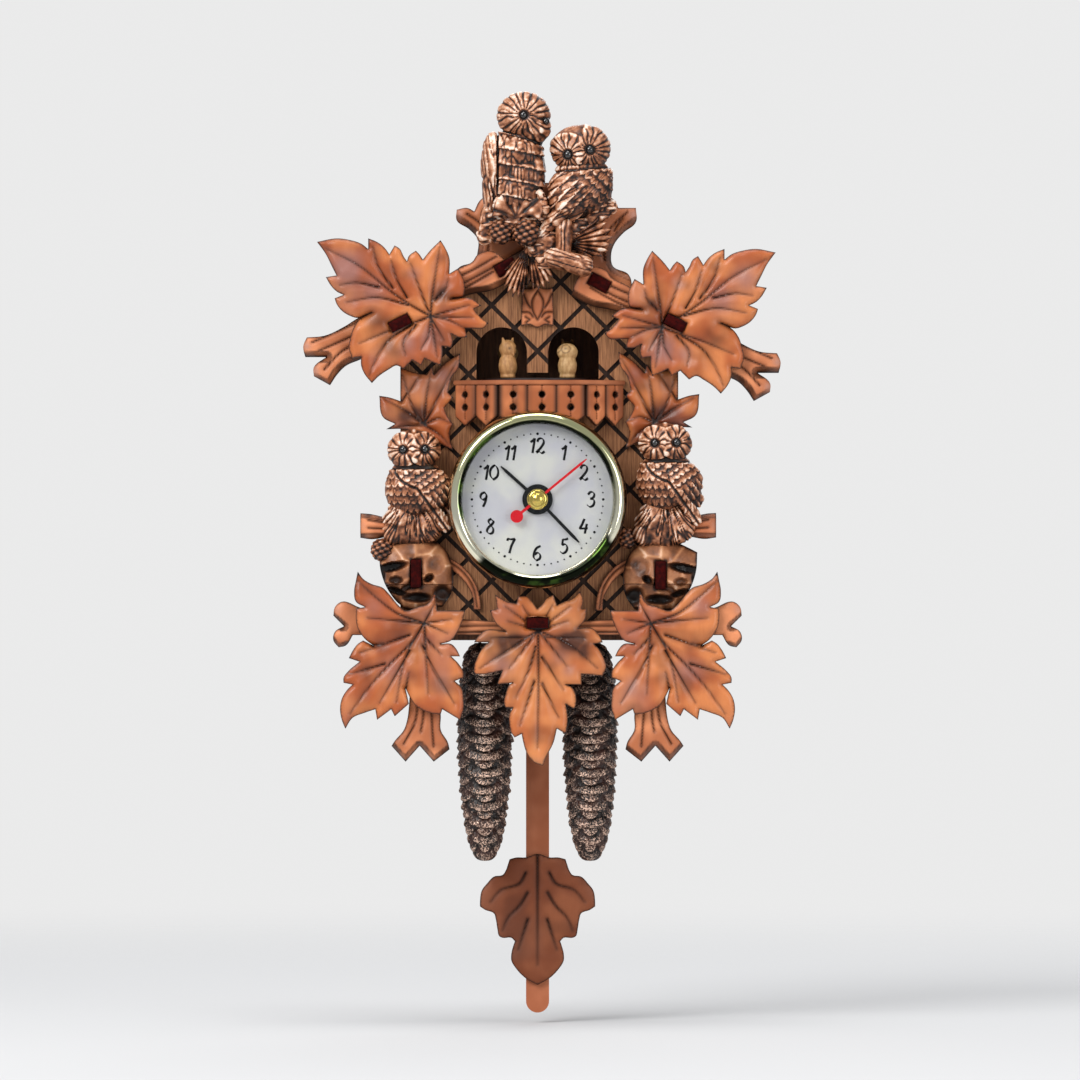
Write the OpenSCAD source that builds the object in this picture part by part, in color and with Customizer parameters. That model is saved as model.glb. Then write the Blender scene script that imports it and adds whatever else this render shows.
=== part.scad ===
// Carved wooden pendulum wall clock with owls, leaves, pine cone weights and a small figure carousel.
// The wall is the plane y = 0 and the clock stands out towards -Y.
// The origin is the middle of the hanging hole on the wall side. +Z is up and +X is right, seen from the front.

/* [Case] */
// Outer width of the case
case_w = 78; // [77:0.5:79]
// Depth from the wall to the front face of the front board
case_d = 32; // [32:0.5:33]
// Height of the gable's peak above the hanging hole
gable_top = 11; // [10.5:0.5:11.5]
// Roof pitch in degrees
pitch = 30; // [29.5:0.5:30.5]
// Drop from the hanging hole to the underside of the case
case_drop = 99.5; // [99:0.5:100]
// Thickness of the side, back, roof and floor boards
board = 2.5; // [2.5:0.1:2.7]
// Thickness of the front board
front_t = 3; // [3:0.1:3.2]
// Spacing between the lattice grooves of the front board
lattice_pitch = 9.25; // [9:0.25:9.5]
// Radius of the hanging hole
hang_r = 4; // [3.5:0.1:4]

/* [Carving] */
// Thickness of the roof branches
branch_t = 6; // [5:0.5:6]
// Thickness of the top and lower leaves
leaf_t = 4; // [3:0.5:4]
// Thickness of the base rail
rail_t = 5; // [4:0.5:5]
// Slide of the right roof branch outwards
right_out = 2.5; // [2:0.5:3]
// Drop of the right roof branch
right_drop = 4.5; // [4:0.5:5]

/* [Dial] */
// Drop from the hanging hole to the centre of the dial
dial_drop = 59.5; // [59:0.5:60]
// Outer radius of the bezel
bezel_r = 25.3; // [25:0.1:25.4]
// Radius of the opening in the bezel
sight_r = 21.6; // [21.4:0.1:21.8]
// Outer radius of the wooden drum behind the bezel
drum_r = 23; // [22.8:0.1:23.2]
// Length of the hour hand
hour_len = 14; // [13:0.5:15]
// Length of the minute hand
minute_len = 17; // [16:0.5:18]
// Length of the second hand
second_len = 18; // [17:0.5:18.5]

/* [Pendulum] */
// Drop from the hanging hole to the pendulum's pivot
pivot_drop = 85.2; // [85:0.1:85.5]
// Drop from the hanging hole to the tip of the pendulum
tip_drop = 206.5; // [204:0.5:208]
// Width of the pendulum rod
rod_w = 6.6; // [6:0.2:7]

/* [Weights] */
// Sideways place of the pine cone weights
cone_x = 15; // [15:0.5:16]
// Depth of the pine cone weights' middle
cone_y = 24; // [23.5:0.5:24.5]
// Largest radius of a pine cone weight
cone_r = 8.3; // [8:0.1:8.4]
// Number of scale rows on a pine cone weight
cone_rows = 26; // [22:1:28]

/* [Carousel] */
// Radius of the circle that the small owls ride on
orbit_r = 12; // [11.8:0.1:12]
// Depth of the carousel's axis
orbit_y = 23.6; // [23.5:0.1:23.7]
// Radius of the carousel's disc
disc_r = 15.5; // [15:0.1:15.5]

/* [Hidden] */
$fn = 48;

// Colours
pale_wood = "peru";
leaf_wood = "chocolate";
dark_wood = "saddlebrown";
resin = "rosybrown";
brass = "gold";
black = "dimgray";

// Case
front_y = -case_d;
case_x = case_w / 2;
inner_x = case_x - board;
inner_front = front_y + front_t;
floor_z = -case_drop + board;
roof_t = board / cos(pitch);
eave_x = 46;
lattice_z = -17.3;
branch_y = front_y - branch_t;
leaf_y = branch_y - leaf_t;
rail_y = front_y - rail_t;
side_leaf_y = front_y - 3;

// Arches and balcony
arch_x = 10.2;
arch_r = 7.2;
arch_z = -17.7;
disc_z = -25;
disc_t = 1.1;
balcony_z = -26.4;
fence_y = -39.6;
fence_t = 1.4;
fence_top = -26.7;
fence_tip = -38.6;
fence_notch = -35.8;
shelf_z = -29.5;
shelf_t = 1.5;
motor_r = 5.2;

// Dial
dial_z = -dial_drop;
drum_y = -41.5;
dial_y = -42.3;
dial_fix_r = 22.3;
lens_y = -47;
bezel_y = -48;
hour_y = -43.1;
minute_y = -43.9;
second_y = -44.6;
cap_y = -46.2;

// Movement, with every wheel on an axis along Y
box_x = 28;
box_top = -40;
box_bottom = -93.5;
box_wall = 1.2;
box_back = -14.4;
box_front = inner_front;
cover_y = -13.2;
bay_x = 12.3;
battery_r = 7.1;
battery_x = 19.55;
battery_y = -20.7;
plate_y = -16.6;
train_module = 0.25;
motion_module = 0.4;
arbor_gap = 0.05;
center_at = [0, dial_z];
motion_at = [-8, dial_z];
knob_at = [-16.4, dial_z];
hour_tube_r = 2.5;
cannon_r = 1.6;
second_r = 0.6;
tooth_rise = 0.9;
tooth_dip = 1.2;
tooth_share = 0.42;

// Pendulum and weights
pivot_z = -pivot_drop;
pin_r = 1;
rod_y = [-12, -10];
bob_y = -14.2;
cone_pin_z = -96.2;
cone_top_z = -100.4;
cone_tip_z = -162.6;

// Outlines, as [x, z] points on the front view
top_leaf_shape = [[-62.5, 13.5], [-57, 14.5], [-53, 14], [-50, 13], [-48, 11.5], [-48, 14.5], [-45.5, 13.5],
    [-43.5, 12], [-42, 10], [-40.5, 12.5], [-39, 11.5], [-38, 9.5], [-37, 8], [-36.5, 9.5], [-34.5, 11],
    [-33.5, 10], [-32.5, 8.5], [-30.5, 11], [-27.5, 14], [-26, 11.5], [-25, 9], [-25, 4.5], [-22.5, 6],
    [-21, 3], [-21, 0.5], [-21, -2], [-24, -2.5], [-19, -2.5], [-16, -4.5], [-18, -5.5], [-16.5, -7.5],
    [-14, -9.5], [-15.5, -11], [-18.5, -11], [-20.5, -11], [-20, -13.5], [-22.5, -13.5], [-24.5, -12.5],
    [-24, -14.5], [-24.5, -16.5], [-27, -16], [-27, -18.5], [-27.5, -21.5], [-30, -20.5], [-32, -19.5],
    [-33, -21.5], [-35.5, -20], [-38, -22.5], [-40, -21.5], [-42, -22.5], [-45, -24.5], [-47, -26.5],
    [-49, -24], [-50, -21.5], [-50, -19], [-52.5, -19.5], [-53.5, -16.5], [-53, -13.5], [-52, -10.5],
    [-50, -8], [-47, -6.5], [-51, -8], [-53, -7.5], [-55.5, -6], [-57, -4], [-57.5, -2.5], [-55, -1.5],
    [-57, -0.5], [-58.5, 1], [-60, 3.5], [-57, 4], [-58.5, 7], [-60, 10]];
branch_shape = [[-65.5, -13.5], [-66.5, -16], [-66, -19], [-60, -19], [-63.5, -22], [-63.5, -24.5],
    [-59, -27], [-57, -24], [-54.5, -21.5], [-50, -19.5], [-20, -1.5], [-13, 0], [-7, 3], [-9, 8], [-13, 11],
    [-17, 10], [-18.5, 8], [-22.5, 6], [-25, 4.5], [-51, -8], [-55, -10.5], [-60.5, -13]];
crest_left = [[-22.5, 6.5], [-18, 8.5], [-17, 11.5], [-17, 14.5], [-19.5, 17.5], [-23, 20], [-23, 23],
    [-20, 23.5], [-18, 22.5], [-16.5, 25.5], [-14.5, 27], [-11, 29]];
crest_right = [[16, 29], [20, 27], [22, 25.5], [23, 23.5], [28, 23.5], [28, 19.5], [24.5, 16.5], [22, 13.5],
    [21, 10.5], [21.5, 7], [26, 4.5]];
side_leaf_shape = [[-45, -30], [-42, -30.5], [-39, -31.5], [-39, -22], [-34.5, -23.5], [-31.5, -24], [-30, -21.5],
    [-29.5, -24], [-26, -20.5], [-22, -18], [-22.5, -22], [-24.5, -25], [-25.5, -29], [-24, -30.5],
    [-26.5, -33.5], [-25.5, -36], [-24, -38], [-25, -40.5], [-24, -45.5], [-29, -43], [-33, -41],
    [-38, -39.5], [-43, -39.5], [-40.5, -38], [-44, -36]];
lower_leaf_shape = [[-51, -80], [-49.5, -82], [-47, -83.5], [-44, -84.5], [-42, -86.5], [-39.5, -89.5],
    [-37.5, -91], [-34, -90], [-31, -89], [-29, -85.5], [-28.5, -91], [-24.5, -91], [-20.5, -91],
    [-21.5, -94.5], [-23, -97.5], [-24.5, -99.5], [-27.5, -100.5], [-24.5, -100.5], [-23, -102],
    [-22, -104], [-24.5, -104], [-22.5, -106], [-21, -108.5], [-21, -110], [-23.5, -111], [-21.5, -113],
    [-21, -116], [-21, -119], [-22, -122], [-24.5, -120.5], [-27, -119], [-27.5, -120.5], [-30.5, -120],
    [-33, -119], [-35, -117.5], [-37.5, -113], [-36.5, -117.5], [-40.5, -121], [-41.5, -119], [-45.5, -122],
    [-46, -119], [-49, -120], [-52.5, -121.5], [-54.5, -124.5], [-55.5, -122], [-56, -119], [-55.5, -116],
    [-54, -113.5], [-52.5, -112], [-55, -111.5], [-55, -110], [-53.5, -108], [-50.5, -105.5],
    [-53.5, -104.5], [-52.5, -102.5], [-51, -100.5], [-49.5, -99.5], [-46.5, -101], [-49, -99],
    [-51, -96], [-51.5, -93.5], [-51.5, -90.5], [-49, -90], [-51.5, -88.5], [-52, -85.5], [-51.5, -82.5]];
center_leaf_shape = [[0, -90.5], [-1.5, -88.5], [-3, -87], [-5.5, -87], [-6, -89], [-8.5, -88.5], [-12, -86.5],
    [-11.5, -90.5], [-13.5, -91], [-13, -92.5], [-11.5, -95], [-9, -97], [-14.5, -96.5], [-17, -98.5],
    [-18, -100], [-14, -100], [-15.5, -101.5], [-17, -104], [-18, -107], [-18, -109], [-15, -109],
    [-10, -108], [-11.5, -112], [-7, -111.5], [-8, -112], [-9, -114.5], [-9.5, -117.5], [-9, -118.5],
    [-7, -118.5], [-8, -120.5], [-8, -123], [-7.5, -125.5], [-6.5, -127], [-4.5, -126], [-4, -128.5],
    [-3, -131.5], [-1, -134], [1.5, -135], [2.5, -132.5], [4.5, -128.5], [5.5, -124.5], [8, -126], [8.5, -123],
    [8.5, -120.5], [8, -117.5], [10.5, -119], [11, -116.5], [10, -113], [8, -112], [12.5, -112],
    [12.5, -109], [18.5, -109.5], [19.5, -107], [19, -105], [17.5, -102], [16, -100.5], [18.5, -100],
    [17.5, -98], [15.5, -96], [11.5, -96], [13.5, -93.5], [14, -90.5], [12.5, -90.5], [13, -88], [12, -85.5],
    [10, -87.5], [7.5, -88.5], [5.5, -89.5], [4.5, -86.5], [2.5, -87.5], [1.5, -89]];
twig_shape = [[-36, -106], [-36.5, -118], [-37, -122], [-38, -125], [-40.5, -128], [-41.5, -129.5], [-37.5, -134],
    [-33.5, -129.5], [-29.5, -134], [-25, -130.5], [-25.5, -128.5], [-27.5, -125], [-27.5, -121], [-29, -106]];
rail_end = [[-45, -98], [-52.5, -98], [-54.5, -101], [-56.5, -101.5], [-58, -99.5], [-57.5, -97], [-55, -95.5],
    [-58, -92.5], [-57.5, -90], [-55.5, -88.5], [-50, -90.3]];
bob_half = [[0, -161], [3.5, -162], [6, -162], [8, -162.5], [8.5, -164], [9, -165.5], [10, -167], [12.5, -167.5],
    [14.5, -169.5], [16, -171.5], [16.5, -174.5], [16.5, -176], [15, -177], [12.5, -178], [12, -179.5],
    [11.5, -182.5], [11, -184.5], [10, -185], [7.5, -185], [6.5, -186], [7, -187.5], [7.5, -189.5],
    [7.5, -191.5], [6, -194], [3.5, -196.5], [0, -198.5]];
stump_shape = [[-45, -74], [-41, -72], [-36, -70], [-30, -71], [-26, -74], [-24, -80], [-24.5, -86], [-27, -90.2],
    [-38, -90.2], [-42, -86], [-44.5, -80]];
mound_shape = [[-41, -60], [-36, -58.5], [-30, -60], [-27, -63], [-26, -68], [-27, -72], [-43, -73], [-44, -68],
    [-43.5, -63]];

// Peg places: [x, z, width, height, turn]
leaf_peg = [-39, -9.5, 6, 3, -27];
roof_pegs = [[-9, 6.5, 6, 3.5, -28], [17.5, 2, 6, 3.5, 28]];
center_peg = [0, -94.5, 6, 3, 0];
stump_peg = [-34.5, -80.5, 3, 8, 0];

function gable(x) = gable_top - abs(x) * tan(pitch);
function mirrored(points) = [for (i = [len(points) - 1:-1:0]) [-points[i][0], points[i][1]]];
function moved(points, dx, dz) = [for (p = points) [p[0] + dx, p[1] + dz]];
function right_peg(peg) = [-peg[0], peg[1], peg[2], peg[3], -peg[4]];

// A flat piece cut to the outline of its children, from y = front to y = back
module slab(front, back) {
    translate([0, back, 0]) rotate([90, 0, 0]) linear_extrude(back - front) children();
}

// A round bar along Y
module bar(at, r, front, back) {
    translate([at[0], back, at[1]]) rotate([90, 0, 0]) cylinder(r = r, h = back - front);
}

// A tube along Y
module tube(at, outer, inner, front, back) {
    difference() {
        bar(at, outer, front, back);
        bar(at, inner, front - 1, back + 1);
    }
}

// The outline of a peg, with a gap around it
module peg_shape(peg, gap) {
    translate([peg[0], peg[1]]) rotate(-peg[4]) square([peg[2] + 2 * gap, peg[3] + 2 * gap], center = true);
}

// The outline of a toothed wheel, with one tooth turned clockwise from straight up by turn degrees
module teeth_shape(teeth, tooth_module, turn) {
    r = teeth * tooth_module / 2;
    tip = r + tooth_rise * tooth_module;
    root = r - tooth_dip * tooth_module;
    half = 180 / teeth * tooth_share;
    polygon([for (i = [0:teeth - 1]) for (p = [[-1.35, root], [-1, r], [-0.4, tip], [0.4, tip], [1, r], [1.35, root]])
        let (a = i * 360 / teeth + turn + p[0] * half) [p[1] * sin(a), p[1] * cos(a)]]);
}

module wheel(at, teeth, tooth_module, turn, front, back) {
    slab(front, back) translate(at) teeth_shape(teeth, tooth_module, turn);
}

// An egg-shaped lump of the carvings
module lump(at, size) {
    hull() translate(at) scale(size / 2) sphere(r = 1, $fn = 16);
}

// A tapered, rounded bar between two points of the carvings
module limb(a, ra, b, rb) {
    hull() {
        translate(a) sphere(r = ra, $fn = 10);
        translate(b) sphere(r = rb, $fn = 10);
    }
}

// ---- Case ----
module case_outline() {
    polygon([[-case_x, floor_z], [case_x, floor_z], [case_x, gable(case_x)], [0, gable_top],
        [-case_x, gable(case_x)]]);
}

module screw_places() {
    for (x = [-1, 1]) for (z = [-24, -88]) translate([x * (case_x - board / 2), 0, z]) children();
}

module back_panel() {
    color(dark_wood) difference() {
        slab(-board, 0) case_outline();
        bar([0, 0], hang_r, -board - 1, 1);
        slab(-board - 1, 1) {
            translate([-hang_r / 2, 0]) square([hang_r, hang_r + 1]);
            translate([0, hang_r + 1]) circle(r = hang_r / 2);
        }
        slab(-board - 1, 1) translate([-24, -94]) square([52, 56]);
        screw_places() rotate([90, 0, 0]) translate([0, 0, -1]) cylinder(r = 1, h = board + 2);
        screw_places() rotate([90, 0, 0]) translate([0, 0, -1]) cylinder(r = 1.9, h = 2);
    }
}

module side_panel() {
    color(dark_wood) difference() {
        slab(inner_front, -board) polygon([[inner_x, floor_z], [case_x, floor_z], [case_x, gable(case_x)],
            [inner_x, gable(inner_x)]]);
        screw_places() rotate([90, 0, 0]) cylinder(r = 0.8, h = 8);
    }
}

module side_panel_left() { mirror([1, 0, 0]) side_panel(); }
module side_panel_right() { side_panel(); }

module back_screws() {
    color("silver") screw_places() rotate([90, 0, 0]) {
        translate([0, 0, 0.1]) cylinder(r = 1.7, h = 0.9);
        cylinder(r = 0.8, h = 8);
    }
}

module bottom_panel() {
    color(dark_wood) difference() {
        translate([-case_x - 1, front_y, -case_drop]) cube([case_w + 2, case_d, board]);
        translate([-8.5, -15, -case_drop - 1]) cube([17, 8, board + 2]);
        for (s = [-1, 1]) translate([s * cone_x, -cone_y, -case_drop - 1]) cylinder(r = 3.4, h = board + 2);
    }
}

module roof_half(front) {
    slab(front, 0) polygon([[0, gable_top], [0, gable_top + roof_t], [eave_x, gable(eave_x) + roof_t],
        [eave_x, gable(eave_x)]]);
}

module roof_panel_left() { color(dark_wood) mirror([1, 0, 0]) roof_half(front_y); }
module roof_panel_right() { color(dark_wood) roof_half(front_y); }

module front_panel() {
    depth = 0.8;
    color(dark_wood) difference() {
        slab(front_y, inner_front) case_outline();
        slab(front_y - 1, inner_front + 1) {
            for (s = [-1, 1]) translate([s * arch_x, arch_z]) circle(r = arch_r);
            for (s = [-1, 1]) translate([s * arch_x - arch_r, balcony_z]) square([2 * arch_r, arch_z - balcony_z]);
            translate([-arch_x - arch_r, balcony_z]) square([2 * (arch_x + arch_r), 3]);
        }
        bar(center_at, 4.2, front_y - 1, inner_front + 1);
        for (turn = [-45, 45]) for (i = [-9:4]) translate([0, front_y, lattice_z]) rotate([0, turn, 0])
            translate([0, 0, i * lattice_pitch]) cube([170, 2 * depth, 1.2], center = true);
    }
}

// ---- Carvings ----
module roof_branch_left() {
    color(pale_wood) slab(branch_y, front_y) difference() {
        polygon(branch_shape);
        peg_shape(roof_pegs[0], 0);
    }
}

module roof_branch_right() {
    color(pale_wood) slab(branch_y, front_y) difference() {
        polygon(moved(mirrored(branch_shape), right_out, -right_drop));
        peg_shape(roof_pegs[1], 0);
    }
}

module top_leaf_left() {
    color(leaf_wood) slab(leaf_y, branch_y) difference() {
        polygon(top_leaf_shape);
        peg_shape(leaf_peg, 0);
    }
}

module top_leaf_right() {
    color(leaf_wood) slab(leaf_y, branch_y) difference() {
        polygon(moved(mirrored(top_leaf_shape), 5, -3));
        peg_shape(right_peg(leaf_peg), 0);
    }
}

module crest_board() {
    start = [[-26, gable(26) + roof_t]];
    finish = [[27, gable(27) + roof_t], [0, gable_top + roof_t]];
    color(pale_wood) slab(front_y, front_y + 4) polygon(concat(start, crest_left, crest_right, finish));
}

// Clips a carved lump so that its back is flat against y = back
module carved(back) {
    intersection() {
        children();
        translate([-100, -100, -200]) cube([200, 100 + back, 300]);
    }
}

module crest_owl_left() {
    color(resin) carved(front_y) {
        lump([-3.8, -38.5, 49.5], [15, 13, 12.4]);
        lump([-7, -37, 36], [16.5, 14, 19]);
        lump([-6, -38, 29], [14, 13, 14]);
        lump([-4.5, -41, 37], [10, 8, 14]);
        lump([-12.5, -38, 34], [6.4, 11, 20]);
        lump([1, -38.5, 34], [5, 10, 15]);
        limb([-6, -42, 50.5], 1.8, [-5, -42.5, 47], 1.5);
        limb([-1.5, -43.5, 47], 1, [-1.3, -43.8, 44.8], 0.5);
        lump([-3.8, -44, 49.2], [2.2, 1.6, 2.2]);
        lump([1.2, -43.2, 47.4], [2, 1.8, 2]);
        limb([-8, -42, 24], 1.6, [-5, -43, 23], 1.2);
    }
}

module crest_owl_right() {
    color(resin) carved(front_y) {
        lump([12.3, -38.5, 40], [16.5, 13, 13]);
        lump([14, -37.5, 29], [14.5, 14, 16]);
        lump([9, -39, 27], [12, 12, 15]);
        limb([15, -41, 33], 2.5, [8, -42, 24], 3);
        limb([8, -41, 25], 2.6, [2, -39, 16.5], 1.4);
        limb([19, -38, 33], 2.4, [18, -37, 24], 2.4);
        lump([8.7, -44, 38.2], [2.6, 1.6, 2.6]);
        lump([14.9, -44, 39.6], [2.4, 1.6, 2.4]);
        limb([11.7, -44.2, 37.6], 1, [11.9, -44.4, 35.2], 0.5);
        limb([15, -40, 24], 2, [12, -41, 20], 1.4);
    }
}

module crest_perch() {
    color(resin) carved(front_y) {
        lump([-6, -37, 20], [16, 12, 12]);
        lump([8, -36, 17], [20, 10, 14]);
        limb([-2, -38, 22], 4, [16, -38, 19], 4);
        limb([-13, -38, 26], 2, [-15, -37, 15], 2.2);
        limb([-12, -41, 24], 2, [1, -41, 23], 2.5);
        limb([4, -41, 9], 2.5, [13.5, -41, 7], 2.5);
        limb([7.2, -39, 12], 2, [7.2, -39, 18], 2.2);
        limb([16, -37, 22], 2.4, [20, -36, 23.5], 2);
        lump([-10.5, -39.5, 16.3], [6.4, 7, 7.4]);
        lump([-3.3, -40, 16.1], [6.8, 7, 7.6]);
        limb([-9, -36, 15], 3, [3, -36, 15], 3);
    }
}

module crest_spray() {
    tips = [[-8, -1], [-5.5, -2.5], [-2.5, -3], [0.5, -2], [3, 0.5], [5, 3]];
    right_tips = [[20, 19], [21.5, 16.5], [21.5, 13.5], [19.5, 11.5], [16.5, 10]];
    color(resin) carved(branch_y) {
        for (t = tips) limb([-2.5, -40.5, 10.5], 1.6, [t[0], -39, t[1]], 1);
        for (t = right_tips) limb([10, -40.5, 12.5], 1.6, [t[0], -39, t[1]], 1);
    }
}

module keystone_plaque() {
    color(pale_wood) difference() {
        slab(front_y - 2.5, front_y) polygon([[-4.5, 1], [4.5, 1], [4.5, -8], [2.5, -9.5], [0, -10.5], [-2.5, -9.5],
            [-4.5, -8]]);
        slab(front_y - 3, front_y - 1.8) difference() {
            polygon([[0, 0], [3.5, -4.5], [0, -9], [-3.5, -4.5]]);
            polygon([[0, -1.2], [2.5, -4.5], [0, -7.8], [-2.5, -4.5]]);
        }
    }
}

module side_leaves() {
    color(leaf_wood) slab(side_leaf_y, front_y) {
        polygon(side_leaf_shape);
        polygon(moved(mirrored(side_leaf_shape), 1, 0.5));
    }
}

// One side owl, drawn about the middle of its head, with its wing swept to the right
module side_owl(at) {
    x = at[0];
    z = at[1];
    difference() {
        carved(side_leaf_y) {
            lump([x, -39.5, z], [14.6, 12, 11.4]);
            lump([x - 0.5, -38.5, z - 11], [15.5, 12, 16]);
            lump([x + 3.5, -40, z - 11], [14, 10, 13]);
            limb([x + 2, -41, z - 10], 3, [x + 9, -38.5, z - 22], 1.6);
            limb([x + 6, -39, z - 9], 2.6, [x + 8.5, -37.5, z - 16], 2.2);
            limb([x - 3, -39, z - 14], 2.2, [x - 2.5, -40, z - 18], 1.6);
            lump([x - 2.9, -44.5, z + 0.2], [2.4, 2, 2.4]);
            lump([x + 3, -44.5, z + 0.4], [2.4, 2, 2.4]);
            limb([x, -44.8, z - 1.4], 1, [x + 0.2, -45, z - 3.2], 0.5);
        }
        bar(center_at, bezel_r + 0.2, -60, -30);
    }
}

module side_owl_left() { color(resin) side_owl([-35, -45.5]); }
module side_owl_right() { color(resin) side_owl([36.2, -43.6]); }

// Stump, mound and log end that carry a side owl
module side_stump(log_z) {
    difference() {
        union() {
            slab(front_y - 8, front_y) difference() {
                polygon(stump_shape);
                peg_shape(stump_peg, 0);
            }
            slab(front_y - 7, front_y) polygon(mound_shape);
            translate([-50.2, front_y - 3.8, log_z]) rotate([0, 90, 0]) cylinder(r = 3.7, h = 10);
        }
        translate([-60, rail_y - 20, -95]) cube([60, 20, 11]);
        translate([-60, rail_y - 20, -95]) cube([60, 40, 5.4]);
        bar(center_at, bezel_r + 0.2, -60, -30);
    }
}

module side_stump_left() { color(resin) side_stump(-67); }
module side_stump_right() { color(resin) translate([0.4, 0, -0.5]) mirror([1, 0, 0]) side_stump(-66.5); }

module base_rail() {
    color(pale_wood) difference() {
        slab(rail_y, front_y) polygon(concat(rail_end, mirrored(rail_end)));
        for (z = [-93.2, -95.3, -97.2]) slab(rail_y - 1, rail_y + 0.6) translate([-48, z]) square([96, 0.5]);
    }
}

module lower_leaf() {
    color(leaf_wood) slab(rail_y - leaf_t, rail_y) polygon(lower_leaf_shape);
}

module lower_leaf_left() { lower_leaf(); }
module lower_leaf_right() { mirror([1, 0, 0]) lower_leaf(); }

module lower_leaf_center() {
    color(leaf_wood) slab(rail_y - leaf_t, rail_y) difference() {
        polygon(center_leaf_shape);
        peg_shape(center_peg, 0);
    }
}

module lower_twigs() {
    color(pale_wood) for (s = [0, 1]) mirror([s, 0, 0]) slab(rail_y, rail_y + 4) polygon(twig_shape);
}

module carving_pegs() {
    gap = -0.02;
    color("maroon") {
        slab(leaf_y + 0.3, branch_y) peg_shape(leaf_peg, gap);
        slab(leaf_y + 0.3, branch_y) peg_shape(right_peg(leaf_peg), gap);
        for (peg = roof_pegs) slab(branch_y + 0.3, front_y) peg_shape(peg, gap);
        slab(rail_y - leaf_t + 0.3, rail_y) peg_shape(center_peg, gap);
        slab(front_y - 7.7, front_y) peg_shape(stump_peg, gap);
        translate([0.4, 0, -0.5]) mirror([1, 0, 0]) slab(front_y - 7.7, front_y) peg_shape(stump_peg, gap);
    }
}

// ---- Balcony and carousel ----
bay = [[-23, front_y], [-11, fence_y], [13.5, fence_y], [24, front_y]];

module balcony_floor() {
    color(pale_wood) translate([0, 0, balcony_z - 1.2]) linear_extrude(1.2) polygon(bay);
}

// Fence boards with a pointed foot on each slat and a column of holes
module fence_run(length, slats) {
    step = length / slats;
    foot = [for (i = [0:2 * slats]) [length - i * step / 2, i % 2 == 0 ? fence_notch : fence_tip]];
    difference() {
        slab(-fence_t, 0) polygon(concat([[0, fence_top], [length, fence_top]], foot));
        for (i = [0:slats - 1]) for (z = [-29.7, -33.3]) bar([(i + 0.5) * step, z], 0.85, -fence_t - 1, 1);
    }
}

module balcony_fence() {
    color(pale_wood) difference() {
        union() {
            for (i = [0:2]) let (a = bay[i], run = bay[i + 1] - a, lap = i == 1 ? 0.6 : 0)
                translate([a[0] - lap, a[1], 0]) rotate([0, 0, atan2(run[1], run[0])])
                fence_run(norm(run) + 2 * lap, i == 1 ? 3 : 2);
            translate([0, 0, fence_top - 0.4]) linear_extrude(2) polygon([[-24, front_y], [-24, front_y - 1],
                [-11.5, -41.5], [14, -41.5], [25, front_y - 1], [25, front_y], [24.2, front_y],
                [13.6, fence_y - 0.3], [-11.1, fence_y - 0.3], [-23.2, front_y]]);
        }
        bar(center_at, drum_r + 0.2, -60, -20);
        translate([-40, front_y, -60]) cube([80, 20, 50]);
    }
}

module carousel_shelf() {
    color(dark_wood) difference() {
        translate([-inner_x, inner_front, shelf_z - shelf_t]) cube([2 * inner_x, -board - inner_front, shelf_t]);
        translate([0, -orbit_y, shelf_z - 5]) cylinder(r = 1.55, h = 10);
        translate([-6.8, -orbit_y, shelf_z - 5]) cylinder(r = 1, h = 10);
    }
}

// A toothed wheel on a vertical axis, with one tooth turned clockwise from +Y by turn degrees
module flat_wheel(teeth, turn, low, high) {
    translate([0, 0, low]) linear_extrude(high - low) teeth_shape(teeth, motion_module, turn);
}

module turntable() {
    color("tan") translate([0, -orbit_y, 0]) {
        translate([0, 0, disc_z - disc_t]) cylinder(r = disc_r, h = disc_t);
        flat_wheel(24, 0, -28.4, -27);
        translate([0, 0, shelf_z + 0.1]) cylinder(r = 2.6, h = disc_z - disc_t - shelf_z - 0.1);
        translate([0, 0, shelf_z - shelf_t - 1]) cylinder(r = 1.5, h = 3);
    }
}

// One small turned owl: a body of revolution with a round head and two ear tufts
module dancer(height, tufts) {
    body_h = height - 5;
    translate([0, 0, disc_z]) {
        rotate_extrude() polygon([[0, 0], [2.6, 0], [2.6, 0.6], [2.3, 0.8], [3, body_h * 0.45], [2.9, body_h * 0.7],
            [2.2, body_h], [0, body_h + 0.5]]);
        translate([0, 0, height - 3]) sphere(r = 2.9);
        if (tufts) for (s = [-1, 1]) translate([s * 1.7, 0, height - 2]) cylinder(r1 = 1, r2 = 0.3, h = 2.6, $fn = 24);
    }
}

module dancer_owls() {
    for (i = [0:3]) color(i % 2 == 0 ? "burlywood" : "wheat") translate([0, -orbit_y, 0])
        rotate([0, 0, -45 + 90 * i]) translate([0, -orbit_r, 0])
        rotate([0, 0, 45]) dancer(i % 2 == 0 ? 11.8 : 10.6, i % 2 == 0);
}

module carousel_motor() {
    color("silver") translate([-6.8, -orbit_y, 0]) difference() {
        translate([0, 0, -38.8]) cylinder(r = motor_r, h = shelf_z - shelf_t + 38.8);
        translate([0, 0, -35]) cylinder(r = 0.8, h = 5);
    }
}

module motor_pinion() {
    color(brass) translate([-6.8, -orbit_y, 0]) {
        flat_wheel(10, 0, -28.4, -27);
        translate([0, 0, -34.9]) cylinder(r = 0.75, h = 7.9);
    }
}

// ---- Dial ----
module ring_profile(points, back) {
    translate([0, back, dial_z]) rotate([90, 0, 0]) rotate_extrude($fn = 96) polygon(points);
}

module dial_drum() { color(dark_wood) tube(center_at, drum_r, 18, drum_y, front_y); }

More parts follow.
